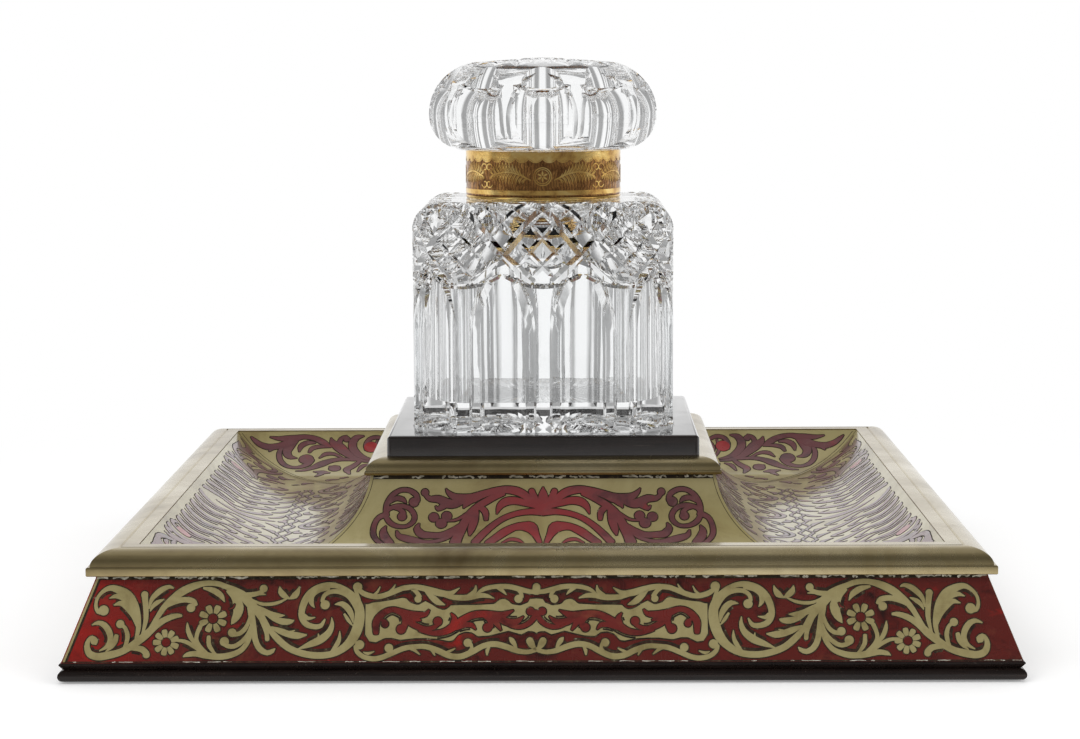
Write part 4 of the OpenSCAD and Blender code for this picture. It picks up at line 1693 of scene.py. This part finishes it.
@dataclass
class Groove:
    """One V-shaped wheel cut: its path over the glass and its size in millimetres."""

    path: list[Vector]
    normals: list[Vector]
    half: float
    depth: float
    clear: float = 0.4

    def add_to(self, points: list[Vector], faces: list[tuple[int, ...]]) -> None:
        """Adds the cutter's closed three-sided bar to a mesh's points and faces.

        Args:
            points: The mesh's points.
            faces: Its faces.
        """
        base = len(points)
        count = len(self.path)
        for i, (here, normal) in enumerate(zip(self.path, self.normals)):
            ahead = self.path[min(i + 1, count - 1)] - self.path[max(i - 1, 0)]
            across = ahead.cross(normal).normalized() * self.half * MM * (1 + self.clear / self.depth)
            shrink = 0.35 if i in (0, count - 1) else 1.0
            top = here + normal * self.clear * MM
            points += [top + across * shrink, top - across * shrink,
                       here - normal * self.depth * MM * shrink]
        faces.append((base, base + 1, base + 2))
        for i in range(count - 1):
            n = base + 3 * i
            faces += [(n + k, n + (k + 1) % 3, n + 3 + (k + 1) % 3, n + 3 + k) for k in range(3)]
        n = base + 3 * (count - 1)
        faces.append((n, n + 1, n + 2))


@dataclass
class Bottle:
    """The square bottle: flutes and hollow from the frame, and its wheel-cut band. Sizes in millimetres.

    The band is laid out on the unrolled wall: way runs round it from the middle of the front, and climb runs
    up it, over the shoulder and in over the top, from the line where the band's crossings lie.
    """

    half: float = 42.6
    corner_r: float = 17.0
    shoulder_z: float = 123.6
    shoulder_r: float = 9.4
    cross_z: float = 116.6
    crown: float = 15.6
    tip: float = 11.8
    top_end: float = 25.0
    border_low: float = 10.0
    border_high: float = 6.4
    split: int = 3
    mitre: float = 1.6
    mitre_depth: float = 1.05
    hatch: float = 0.9
    hatch_depth: float = 0.55
    edge: float = 0.85
    edge_depth: float = 0.8
    outline: float = 1.8
    outline_depth: float = 2.1
    lancet_half: float = 9.2
    lancet_spring_z: float = 89.1
    lancet_tip_z: float = 115.1
    foot_z: float = 60.5
    seat_gap: float = 0.08
    foot_rays: int = 32
    foot_ray_from: float = 5.0
    foot_ray_to: float = 39.0

    @property
    def pitch(self) -> float:
        """Distance from one diamond to the next round the bottle."""
        return (2 * (self.half - self.corner_r) + math.pi / 2 * self.corner_r) / 3

    def wall(self, way: float) -> tuple[Vector, Vector]:
        """The wall's plan at a way round it from the middle of the front.

        Args:
            way: Millimetres round the plan.

        Returns:
            The point and the level outward direction.
        """
        flat = self.half - self.corner_r
        quarter = 2 * flat + math.pi / 2 * self.corner_r
        turns = math.floor((way + flat) / quarter)
        rest = way - turns * quarter
        if rest <= flat:
            point, out = Vector((rest, -self.half, 0)), Vector((0, -1, 0))
        else:
            angle = (rest - flat) / self.corner_r
            out = Vector((math.sin(angle), -math.cos(angle), 0))
            point = Vector((flat, -flat, 0)) + out * self.corner_r
        turn = Matrix.Rotation(math.pi / 2 * turns, 3, "Z")
        return turn @ point, turn @ out

    def aim(self, way: float, climb: float) -> tuple[Vector, Vector]:
        """Where a ray starts that meets the glass squarely at a spot of the unrolled wall.

        Args:
            way: Millimetres round the wall.
            climb: Millimetres up it from the crossings.

        Returns:
            The start in metres and the ray's direction.
        """
        point, out = self.wall(way)
        rise = climb - (self.shoulder_z - self.cross_z)
        if rise <= 0:
            hub, turned = point + Vector((0, 0, self.cross_z + climb)), out
        else:
            angle = min(rise / self.shoulder_r, math.pi / 2)
            inward = max(0.0, rise - self.shoulder_r * math.pi / 2)
            hub = point - out * (self.shoulder_r + inward) + Vector((0, 0, self.shoulder_z))
            turned = out * math.cos(angle) + Vector((0, 0, math.sin(angle)))
        return hub * MM + turned * 0.03, -turned

    def groove(self, tree: BVHTree, spots: list[Spot], half: float, depth: float) -> Groove | None:
        """Lays a wheel cut over the glass.

        Args:
            tree: The glass to lay it on.
            spots: Corners of the path as (way, climb).
            half: Half the cut's width.
            depth: Its depth.

        Returns:
            The cut, or None if it misses the glass.
        """
        path, normals = [], []
        for here, there in zip(spots, spots[1:]):
            count = max(1, math.ceil(math.dist(here, there) / 1.5))
            for i in range(count + (there is spots[-1])):
                share = i / count
                start, ray = self.aim(*(a + (b - a) * share for a, b in zip(here, there)))
                hit, normal, _, _ = tree.ray_cast(start, ray, 0.05)
                if hit is None:
                    return None
                path.append(hit)
                normals.append(normal)
        return Groove(path, normals, half, depth)

    def hatching(self, centre: float, bottom: float, middle: float, top: float,
                 side: int) -> list[list[Spot]]:
        """Lines that hatch one diamond one way.

        Args:
            centre: The diamond's way round.
            bottom: Climb of its lower corner.
            middle: Climb of its side corners.
            top: Climb of its upper corner.
            side: 1 for lines that rise to the right, -1 for lines that rise to the left.

        Returns:
            The lines, each a little short of the diamond's edges.
        """
        near, far = (centre - side * self.pitch / 2, middle), (centre + side * self.pitch / 2, middle)
        low, high = (centre, bottom), (centre, top)
        lines = []
        for i in range(1, self.split):
            share = i / self.split
            start = tuple(a + (b - a) * share for a, b in zip(near, low))
            end = tuple(a + (b - a) * share for a, b in zip(high, far))
            inset = 0.07
            lines.append([tuple(a + (b - a) * inset for a, b in zip(start, end)),
                          tuple(b + (a - b) * inset for a, b in zip(start, end))])
        return lines

    def clipped(self, line: list[Spot]) -> list[Spot]:
        """A line cut off where it would run past the top's edge of the band.

        Args:
            line: The line's points.

        Returns:
            The line without its overrun.
        """
        (ax, ay), (bx, by) = line
        if by <= self.top_end:
            return line
        share = (self.top_end - ay) / (by - ay)
        return [(ax, ay), (ax + (bx - ax) * share, self.top_end)]

    def lancet_edge(self, centre: float) -> list[Spot]:
        """The pointed outline of one lancet, from its foot up over its tip and down again.

        Args:
            centre: Where the lancet's middle lies on the wall.

        Returns:
            The outline's points.
        """
        rise = self.lancet_tip_z - self.lancet_spring_z
        radius = (self.lancet_half ** 2 + rise ** 2) / (2 * self.lancet_half)
        left = [(-self.lancet_half, self.foot_z)]
        for i in range(9):
            height = rise * i / 8
            left.append((math.sqrt(radius ** 2 - height ** 2) * -1 + radius - self.lancet_half,
                         self.lancet_spring_z + height))
        outline = left + [(-x, z) for x, z in left[-2::-1]]
        ceiling = self.cross_z - self.border_high
        return [(centre + x, z - self.cross_z) for x, z in outline if z <= ceiling]

    def cuts(self, tree: BVHTree) -> list[list[Groove | None]]:
        """Lays out all cuts of the bottle in sets, none of which has two cuts that cross.

        Args:
            tree: The glass, for finding its face.

        Returns:
            The sets of cuts.
        """
        p = self.pitch
        rising, falling, border, hatch_up, hatch_down, edges_up, edges_down = ([] for _ in range(7))
        for k in range(12):
            centre = k * p
            for side, target in ((1, rising), (-1, falling)):
                line = [(centre + side * p * 0.09, -self.tip * 0.82), (centre + side * p / 2, 0.0),
                        (centre + side * p * (0.5 + self.top_end / self.crown / 2), self.top_end)]
                target.append(self.groove(tree, line, self.mitre, self.mitre_depth))
            arch = [(centre + p * (i / 8 - 0.5) * 0.98,
                     -self.border_low + (self.border_low - self.border_high) * abs(i / 4 - 1) ** 2)
                    for i in range(9)]
            border.append(self.groove(tree, arch, self.edge, self.edge_depth))
            for side, target in ((1, hatch_up), (-1, hatch_down)):
                lines = self.hatching(centre, -self.tip, 0.0, self.crown, side)
                lines += [self.clipped(line)
                          for line in self.hatching(centre + p / 2, 0.0, self.crown, 2 * self.crown, side)]
                target.extend(self.groove(tree, line, self.hatch, self.hatch_depth) for line in lines)
            outline = self.lancet_edge(centre + p / 2)
            half = len(outline) // 2
            edges_up.append(self.groove(tree, outline[:half], self.outline, self.outline_depth))
            edges_down.append(self.groove(tree, outline[-half:], self.outline, self.outline_depth))
        return [rising, falling, border, hatch_up, hatch_down, edges_up, edges_down]

    def cut_band(self, glass: bpy.types.Object) -> None:
        """Cuts the band of diamonds and the lancets' edges into the glass, one set after another.

        Args:
            glass: The bottle's piece.
        """
        tree = BVHTree.FromObject(glass, bpy.context.evaluated_depsgraph_get())
        for number, cuts in enumerate(self.cuts(tree)):
            points: list[Vector] = []
            faces: list[tuple[int, ...]] = []
            for cut in cuts:
                if cut is not None:
                    cut.add_to(points, faces)
            log.info("bottle: cut set %d has %d cuts", number, sum(cut is not None for cut in cuts))
            cut_away(glass, from_parts(f"wheel_{number}", points, faces))

    def star_foot(self, glass: bpy.types.Object) -> None:
        """Cuts the rays of a star into the underside, in two sets because neighbours meet at the middle.

        Args:
            glass: The bottle's piece.
        """
        low = min(vertex.co.z for vertex in glass.data.vertices)
        for odd in (0, 1):
            points: list[Vector] = []
            faces: list[tuple[int, ...]] = []
            for i in range(odd, self.foot_rays, 2):
                angle = 2 * math.pi * (i + 0.5) / self.foot_rays
                out = Vector((math.cos(angle), math.sin(angle), 0))
                reach = min(self.foot_ray_to, (self.half - 2.6) / max(abs(out.x), abs(out.y)))
                path = [out * r * MM + Vector((0, 0, low))
                        for r in (self.foot_ray_from + 4 * odd, (self.foot_ray_from + reach) / 2, reach)]
                Groove(path, [Vector((0, 0, -1))] * len(path), 1.5, 1.4).add_to(points, faces)
            cut_away(glass, from_parts("foot_star_wheel", points, faces))

    def build(self, nodes: dict[str, bpy.types.Object]) -> None:
        """Builds the bottle and its brass.

        Args:
            nodes: The frame's nodes by name.
        """
        glass = merged_copy(nodes["glass_bottle"], "bottle_glass")
        low = min(vertex.co.z for vertex in glass.data.vertices)
        for vertex in glass.data.vertices:
            if vertex.co.z < low + self.seat_gap * MM / 2:
                vertex.co.z += self.seat_gap * MM
        self.cut_band(glass)
        self.star_foot(glass)
        smooth(glass, 14)
        wear(glass, GLASS)
        settle(glass, "bottle", "cut_glass", "glass_bottle")
        ring = merged_copy(nodes["neck_ring"], "collar_ring")
        smooth(ring, 32)
        wear(ring, GILT)
        settle(ring, "bottle", "gilt_brass", "neck_ring")
        pin = merged_copy(nodes["hinge_pin"], "collar_pin")
        smooth(pin, 32)
        wear(pin, GILT)
        settle(pin, "bottle", "gilt_brass", "hinge_pin")


@dataclass
class Lid:
    """The hinged lid: fluted glass with a star-cut top, and its engraved gilt band. Sizes in millimetres."""

    band_r: float = 25.8
    band_low: float = 134.4
    band_high: float = 149.0
    flutes: int = 10
    rays: int = 20
    belly_z: float = 160.8
    bed_r: float = 34.2
    wheel_r: float = 14.0
    foot_z: float = 151.2
    foot_r: float = 27.5
    foot_start: float = 0.21
    flute_spread: float = 0.285

    def star(self, glass: bpy.types.Object) -> None:
        """Cuts the star of leaning rays that cross on the lid's top, and the fine mitre round each flute.

        Args:
            glass: The lid's piece.
        """
        tree = BVHTree.FromObject(glass, bpy.context.evaluated_depsgraph_get())
        for lean in (-1, 1):
            points: list[Vector] = []
            faces: list[tuple[int, ...]] = []
            for i in range(self.rays):
                path, normals = [], []
                for step in range(10):
                    r = 5.0 + 22.5 * step / 9
                    angle = 2 * math.pi * (i + 0.5 + lean * 1.5 * step / 9) / self.rays
                    out = Vector((math.cos(angle), math.sin(angle), 0))
                    hit, normal, _, _ = tree.ray_cast(out * r * MM + Vector((0, 0, 0.2)),
                                                      Vector((0, 0, -1)), 0.1)
                    path.append(hit)
                    normals.append(normal)
                Groove(path, normals, 1.1, 0.9).add_to(points, faces)
            cut_away(glass, from_parts("star_wheel", points, faces))
        for side in (-1, 1):
            points, faces = [], []
            for i in range(self.flutes):
                middle = 2 * math.pi * i / self.flutes - math.pi / 2
                path, normals = [], []
                for step in range(12):
                    share = step / 11
                    climb = 153.5 + 21.0 * share
                    spread = self.flute_spread * math.sqrt(max(0.0, 1 - (max(0.0, share - 0.3) / 0.72) ** 2))
                    angle = middle + side * spread
                    out = Vector((math.cos(angle), math.sin(angle), 0))
                    hit, normal, _, _ = tree.ray_cast(out * 0.06 + Vector((0, 0, climb * MM)), -out, 0.05)
                    path.append(hit)
                    normals.append(normal)
                Groove(path, normals, 0.9, 1.05).add_to(points, faces)
            cut_away(glass, from_parts("edge_wheel", points, faces))

    def run_under(self, glass: bpy.types.Object) -> None:
        """Runs each flute on under the lid's belly down to the boss, so that the ribs end in points.

        Args:
            glass: The lid's piece.
        """
        rise, run = self.belly_z - self.foot_z, self.bed_r - self.foot_r
        path_r = (rise * rise + run * run) / (2 * run)
        axis = Vector((self.bed_r - path_r, 0, self.belly_z)) * MM
        end = math.asin(rise / path_r)
        for i in range(self.flutes):
            bpy.ops.object.select_all(action="DESELECT")
            bpy.ops.mesh.primitive_circle_add(vertices=64, radius=self.wheel_r * MM, fill_type="NGON")
            wheel = bpy.context.object
            wheel.name = f"foot_wheel_{i}"
            wheel.data.transform(Matrix.Translation(Vector((self.bed_r + self.wheel_r, 0,
                                                            self.belly_z)) * MM))
            wheel.data.transform(Matrix.Translation(axis) @ Matrix.Rotation(self.foot_start, 4, "Y")
                                 @ Matrix.Translation(-axis))
            bpy.ops.object.mode_set(mode="EDIT")
            bpy.ops.mesh.select_all(action="SELECT")
            bpy.ops.mesh.spin(steps=20, angle=end - self.foot_start, center=axis, axis=(0, 1, 0))
            bpy.ops.mesh.select_all(action="SELECT")
            bpy.ops.mesh.remove_doubles(threshold=1e-7)
            bpy.ops.mesh.normals_make_consistent(inside=False)
            bpy.ops.object.mode_set(mode="OBJECT")
            wheel.data.transform(Matrix.Rotation(2 * math.pi * i / self.flutes - math.pi / 2, 4, "Z"))
            cut_away(glass, wheel)

    def on_band(self, along: float, up: float, lift: float) -> Vector:
        """A point of the band, from its front and its foot.

        Args:
            along: Way round from its front.
            up: Way up from its foot.
            lift: Height over its face.

        Returns:
            The point in metres.
        """
        angle = along / self.band_r - math.pi / 2
        r = self.band_r + lift
        return Vector((r * math.cos(angle), r * math.sin(angle), self.band_low + up)) * MM

    def leaf(self, inlay: Inlay, root: float, side: int) -> None:
        """Adds one engraved feather leaf: a bowed stem with veins that lean towards its tip.

        Args:
            inlay: What it is added to.
            root: Where its stem starts.
            side: 1 or -1, the way it bows.
        """
        stem = [(root + side * 1.2 * i, 5.4 + 2.6 * math.sin(math.pi * i / 14), 0.42) for i in range(13)]
        inlay.ribbon(stem, 0.16, Mark.BRASS)
        for i in range(1, 12):
            x, v = stem[i][:2]
            reach = 3.6 * math.sin(math.pi * (i + 1) / 14)
            for up in (-1, 1):
                tip = min(max(v + up * reach, 2.5), 11.2)
                inlay.ribbon([(x, v, 0.18), (x + side * 1.1, v + (tip - v) * 0.45, 0.4),
                              (x + side * 1.5, tip, 0.16)], 0.12, Mark.BRASS)
                inlay.ribbon([(x + side * 0.6, v, 0.12), (x + side * 1.6, v + (tip - v) * 0.4, 0.22),
                              (x + side * 1.9, v + (tip - v) * 0.8, 0.1)], 0.08, Mark.BRASS)

    def engraving(self) -> bpy.types.Object:
        """Raised foliage round the band: ringed flowers with feather leaves between, under scallops.

        Returns:
            The foliage as one piece.
        """
        inlay = Inlay(self.on_band, root=-0.12, line=0.0, step=0.5)
        around = 2 * math.pi * self.band_r
        repeats = 4
        for k in range(repeats):
            middle = k * around / repeats
            for radius, width in ((2.9, 0.3), (2.3, 0.22)):
                ring = [(middle + radius * math.cos(a), 6.6 + radius * math.sin(a), width)
                        for a in (2 * math.pi * i / 20 for i in range(21))]
                inlay.ribbon(ring, 0.13, Mark.BRASS)
            for i in range(6):
                angle = math.pi * (i / 3 + 0.5)
                inlay.ribbon([(middle + r * math.cos(angle), 6.6 + r * math.sin(angle), w)
                              for r, w in ((0.3, 0.15), (1.0, 0.6), (1.8, 0.15))], 0.14, Mark.BRASS)
            for side in (-1, 1):
                self.leaf(inlay, middle + side * 3.8, side)
                for lean in (-1, 1):
                    curl = []
                    for i in range(9):
                        angle = math.pi * (0.1 + 1.5 * i / 8)
                        radius = 1.5 * (1 - 0.6 * i / 8)
                        curl.append((middle + side * (19.2 - radius * math.cos(angle)),
                                     6.7 + lean * (2.6 + radius * math.sin(angle)), 0.32))
                    inlay.ribbon(curl, 0.13, Mark.BRASS)
        scallops = 36
        step = around / scallops
        for k in range(scallops):
            start = step * k
            inlay.ribbon([(start, 12.35, 0.3), (start + step * 0.22, 11.5, 0.3),
                          (start + step / 2, 11.2, 0.34),
                          (start + step * 0.78, 11.5, 0.3), (start + step, 12.35, 0.3)], 0.12, Mark.BRASS)
            inlay.ribbon([(start + step * 0.15, 12.3, 0.5), (start + step / 2, 12.0, 1.3),
                          (start + step * 0.85, 12.3, 0.5)], 0.1, Mark.BRASS)
        return inlay.piece("collar_engraving", GILT_GROUND, GILT)

    def border(self, name: str, low: float, high: float, proud: float) -> bpy.types.Object:
        """A plain raised border round the band.

        Args:
            name: The piece's name.
            low: Its foot above the band's foot.
            high: Its top above the band's foot.
            proud: How far it stands out.

        Returns:
            The piece.
        """
        inlay = Inlay(self.on_band, root=-0.12, line=0.0)
        around = 2 * math.pi * self.band_r
        count = 144
        row = [around * i / count for i in range(count + 1)]
        inlay.strip([(x, high) for x in row], [(x, low) for x in row], proud, Mark.BRASS)
        made = inlay.piece(name, GILT_GROUND, GILT)
        pick_only(made)
        bpy.ops.object.mode_set(mode="EDIT")
        bpy.ops.mesh.select_all(action="SELECT")
        bpy.ops.mesh.remove_doubles(threshold=1e-6)
        bpy.ops.object.mode_set(mode="OBJECT")
        smooth(made, 30)
        return made

    def build(self, nodes: dict[str, bpy.types.Object]) -> None:
        """Builds the lid and its band.

        Args:
            nodes: The frame's nodes by name.
        """
        glass = merged_copy(nodes["glass_lid"], "lid_glass")
        self.run_under(glass)
        self.star(glass)
        smooth(glass, 16)
        wear(glass, LID_GLASS)
        settle(glass, "lid", "cut_glass", "glass_lid")
        band = merged_copy(nodes["lid_band"], "collar_band")
        smooth(band, 32)
        wear(band, GILT_GROUND)
        settle(band, "lid", "gilt_brass", "lid_band")
        settle(self.engraving(), "lid", "gilt_brass")
        settle(self.border("collar_top_border", 12.4, 14.5, 0.1), "lid", "gilt_brass")
        settle(self.border("collar_foot_border", 0.5, 2.0, 0.14), "lid", "gilt_brass")


# camera, lights and floor


@dataclass(frozen=True)
class Camera:
    """The photograph's camera. Lengths in metres, angles in degrees."""

    focal_pixels: float = 2620.2
    place: tuple[float, float, float] = (0.00742, -0.8803, 0.1791)
    down: float = 6.761
    yaw: float = -0.572
    roll: float = -0.264

    @property
    def eye(self) -> tuple[float, ...]:
        """The camera's place in millimetres."""
        return tuple(metres / MM for metres in self.place)

    def ray(self, across: float, down: float) -> tuple[float, ...]:
        """The direction in which a pixel of the photograph is seen.

        Args:
            across: Pixels from the photograph's left edge.
            down: Pixels from its upper edge.

        Returns:
            The direction along x, y and z, of any length.
        """
        pitch, yaw, roll = (math.radians(a) for a in (self.down, self.yaw, self.roll))
        ahead = (math.sin(yaw) * math.cos(pitch), math.cos(yaw) * math.cos(pitch), -math.sin(pitch))
        right = (math.cos(yaw), -math.sin(yaw), 0.0)
        above = (right[1] * ahead[2], -right[0] * ahead[2], right[0] * ahead[1] - right[1] * ahead[0])
        x, y = across - PHOTO_WIDTH / 2, PHOTO_HEIGHT / 2 - down
        level = x * math.cos(roll) - y * math.sin(roll)
        upward = x * math.sin(roll) + y * math.cos(roll)
        return tuple(a * self.focal_pixels + r * level + u * upward for a, r, u in zip(ahead, right, above))

    def build(self) -> None:
        """Creates the camera and makes it the scene's."""
        data = bpy.data.cameras.new("camera")
        data.sensor_fit = "HORIZONTAL"
        data.sensor_width = 36.0
        data.lens = self.focal_pixels / PHOTO_WIDTH * data.sensor_width
        data.clip_start, data.clip_end = 0.01, 60.0
        pitch, yaw, roll = (math.radians(a) for a in (self.down, self.yaw, self.roll))
        ahead = Vector((math.sin(yaw) * math.cos(pitch), math.cos(yaw) * math.cos(pitch), -math.sin(pitch)))
        right = Vector((math.cos(yaw), -math.sin(yaw), 0.0))
        above = right.cross(ahead)
        level = right * math.cos(roll) + above * math.sin(roll)
        upward = above * math.cos(roll) - right * math.sin(roll)
        matrix = Matrix((level, upward, -ahead)).transposed().to_4x4()
        matrix.translation = Vector(self.place)
        camera = bpy.data.objects.new("camera", data)
        camera.matrix_world = matrix
        bpy.context.scene.collection.objects.link(camera)
        bpy.context.scene.camera = camera


CAMERA = Camera()


@dataclass(frozen=True)
class Lamp:
    """One soft square lamp aimed at the stand. Lengths in metres, power in watts."""

    name: str
    place: tuple[float, float, float]
    size: float
    power: float
    aim: tuple[float, float, float] = (0.0, 0.0, 0.06)

    def build(self) -> None:
        """Creates the lamp."""
        data = bpy.data.lights.new(self.name, "AREA")
        data.shape = "SQUARE"
        data.size = self.size
        data.energy = self.power
        lamp = bpy.data.objects.new(self.name, data)
        lamp.location = self.place
        lamp.visible_glossy = lamp.visible_transmission = False
        lamp.rotation_euler = (Vector(self.aim) - Vector(self.place)).to_track_quat("-Z", "Y").to_euler()
        bpy.context.scene.collection.objects.link(lamp)


@dataclass(frozen=True)
class Studio:
    """White room: a sky that is white behind the object, a pale floor, and soft lamps."""

    sky: float = 0.62
    front_tone: float = 0.28
    side_tone: float = 0.3
    glass_tone: float = 0.36
    glass_top: float = 0.6
    panel_every: float = 45.0
    panel_white_to: float = 7.0
    panel_dark_from: float = 14.0
    white_to: float = 30.0
    dark_from: float = 64.0
    top_tone: float = 0.5
    strips: tuple[float, ...] = (-118.0, 104.0)
    floor_white: float = 0.8
    floor_lift: float = 0.26
    floor_shadowed: float = 0.24
    floor_blank: float = 0.42
    bounces: int = 20
    lamps: tuple[Lamp, ...] = (
        Lamp("key_lamp", (-0.75, -0.95, 1.25), 0.8, 7.0),
        Lamp("fill_lamp", (0.95, -0.7, 0.9), 0.7, 2.6),
        Lamp("top_lamp", (0.1, 0.35, 1.5), 0.9, 4.0),
    )

    def build_sky(self) -> None:
        """Lights the room evenly: white to the camera, and darker sides for glass and brass to show."""
        world = bpy.data.worlds.new("studio")
        bpy.context.scene.world = world
        world.use_nodes = True
        tree = world.node_tree
        tree.nodes.clear()
        output = tree.nodes.new("ShaderNodeOutputWorld")
        coords = tree.nodes.new("ShaderNodeTexCoord")
        split = tree.nodes.new("ShaderNodeSeparateXYZ")
        tree.links.new(coords.outputs["Generated"], split.inputs[0])

        def ramped(source, low: float, high: float, start: float, end: float):
            """A tone that eases from one to another as a value rises."""
            node = tree.nodes.new("ShaderNodeMapRange")
            node.interpolation_type = "SMOOTHSTEP"
            tree.links.new(source, node.inputs["Value"])
            for name, number in zip(("From Min", "From Max", "To Min", "To Max"), (low, high, start, end)):
                node.inputs[name].default_value = number
            return node.outputs[0]

        def maths(operation: str, first, second):
            """One sum on two values."""
            node = tree.nodes.new("ShaderNodeMath")
            node.operation = operation
            for socket, value in zip(node.inputs, (first, second)):
                if isinstance(value, bpy.types.NodeSocket):
                    tree.links.new(value, socket)
                else:
                    socket.default_value = value
            return node.outputs[0]

        bearing = maths("ARCTAN2", split.outputs["X"], split.outputs["Y"])
        round_back = maths("ABSOLUTE", bearing, 0.0)

        sides = ramped(round_back, math.radians(self.white_to), math.radians(self.dark_from), 1.0,
                       self.side_tone)
        front = ramped(round_back, math.radians(125), math.radians(160), 0.0,
                       self.front_tone - self.side_tone)
        tone = maths("ADD", sides, front)
        for strip in self.strips:
            off = maths("ABSOLUTE", maths("SUBTRACT", bearing, math.radians(strip)), 0.0)
            tone = maths("MAXIMUM", tone, ramped(off, math.radians(8), math.radians(14), 1.0, 0.0))
        by_brass = maths("MULTIPLY", tone, ramped(split.outputs["Z"], 0.35, 0.8, 1.0, self.top_tone))
        off_panel = maths("PINGPONG", round_back, math.radians(self.panel_every / 2))
        panels = ramped(off_panel, math.radians(self.panel_white_to), math.radians(self.panel_dark_from),
                        1.0,
                        self.glass_tone)
        by_glass = maths("MULTIPLY", panels, ramped(split.outputs["Z"], 0.35, 0.8, 1.0, self.glass_top))
        path = tree.nodes.new("ShaderNodeLightPath")
        change = maths("MULTIPLY", path.outputs["Is Transmission Ray"],
                       maths("SUBTRACT", by_glass, by_brass))
        seen = maths("ADD", by_brass, change)
        shiny = maths("MAXIMUM", path.outputs["Is Glossy Ray"], path.outputs["Is Transmission Ray"])
        strength = maths("ADD", path.outputs["Is Camera Ray"], maths("MULTIPLY", shiny, seen))
        plain = maths("SUBTRACT", 1.0,
                      maths("MINIMUM", maths("ADD", path.outputs["Is Camera Ray"], shiny), 1.0))
        strength = maths("ADD", strength, maths("MULTIPLY", plain, self.sky))
        back = tree.nodes.new("ShaderNodeBackground")
        back.inputs["Color"].default_value = (1, 1, 1, 1)
        tree.links.new(maths("MINIMUM", strength, 1.0), back.inputs["Strength"])
        tree.links.new(back.outputs[0], output.inputs["Surface"])

    def build_floor(self) -> None:
        """Lays the pale floor, which keeps the object's shadow."""
        bpy.ops.object.select_all(action="DESELECT")
        bpy.ops.mesh.primitive_plane_add(size=16)
        floor = bpy.context.object
        floor.name = "floor"
        w = Wiring("floor_white")
        paper = w.tree.nodes.new("ShaderNodeBsdfDiffuse")
        fibre = w.noise(w.place(), 60, 3, 0.5)
        pale, paler = ((self.floor_white * share,) * 3 + (1.0,) for share in (1.0, 1.01))
        tone = w.ramp(fibre, [(0.0, pale), (1.0, paler)])
        w.tree.links.new(tone, paper.inputs["Color"])
        glow = w.tree.nodes.new("ShaderNodeEmission")
        path = w.tree.nodes.new("ShaderNodeLightPath")
        seen = w.maths("MAXIMUM", path.outputs["Is Camera Ray"],
                       w.maths("MAXIMUM", path.outputs["Is Glossy Ray"],
                               path.outputs["Is Transmission Ray"]))
        w.tree.links.new(w.maths("MULTIPLY", seen, self.floor_lift), glow.inputs["Strength"])
        both = w.tree.nodes.new("ShaderNodeAddShader")
        w.tree.links.new(paper.outputs[0], both.inputs[0])
        w.tree.links.new(glow.outputs[0], both.inputs[1])
        blank = w.tree.nodes.new("ShaderNodeEmission")
        reach = w.tree.nodes.new("ShaderNodeVectorMath")
        reach.operation = "LENGTH"
        w.tree.links.new(w.coords.outputs["Object"], reach.inputs[0])
        near = w.level(w.axis("Y"), -0.6, -0.2, self.front_tone, 1.0)
        bearing = w.maths("ABSOLUTE", w.maths("ARCTAN2", w.axis("X"), w.axis("Y")))
        off_panel = w.maths("PINGPONG", bearing, math.radians(self.panel_every / 2))
        panels = w.level(off_panel, math.radians(self.panel_white_to), math.radians(self.panel_dark_from),
                         1.0,
                         self.glass_tone)
        change = w.maths("MULTIPLY", path.outputs["Is Transmission Ray"], w.maths("SUBTRACT", panels, near))
        w.tree.links.new(w.maths("MAXIMUM", path.outputs["Is Camera Ray"], w.maths("ADD", near, change)),
                         blank.inputs["Strength"])
        far = w.level(reach.outputs["Value"], self.floor_shadowed, self.floor_blank)
        mix = w.tree.nodes.new("ShaderNodeMixShader")
        w.tree.links.new(w.maths("MULTIPLY", far, seen), mix.inputs[0])
        w.tree.links.new(both.outputs[0], mix.inputs[1])
        w.tree.links.new(blank.outputs[0], mix.inputs[2])
        w.tree.links.new(mix.outputs[0], w.output.inputs["Surface"])
        floor.data.materials.append(w.material)

    def build(self) -> None:
        """Builds the sky, floor and lamps."""
        scene = bpy.context.scene
        scene.view_settings.view_transform = "Standard"
        scene.cycles.max_bounces = scene.cycles.transmission_bounces = self.bounces
        scene.cycles.glossy_bounces = self.bounces
        self.build_sky()
        self.build_floor()
        for lamp in self.lamps:
            lamp.build()


def main() -> None:
    logging.basicConfig(level=logging.INFO, format="%(name)s: %(message)s")
    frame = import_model()
    CAMERA.build()
    Studio().build()
    Stand().build(frame["nodes"])
    Bottle().build(frame["nodes"])
    Lid().build(frame["nodes"])


if __name__ == "__main__":
    main()
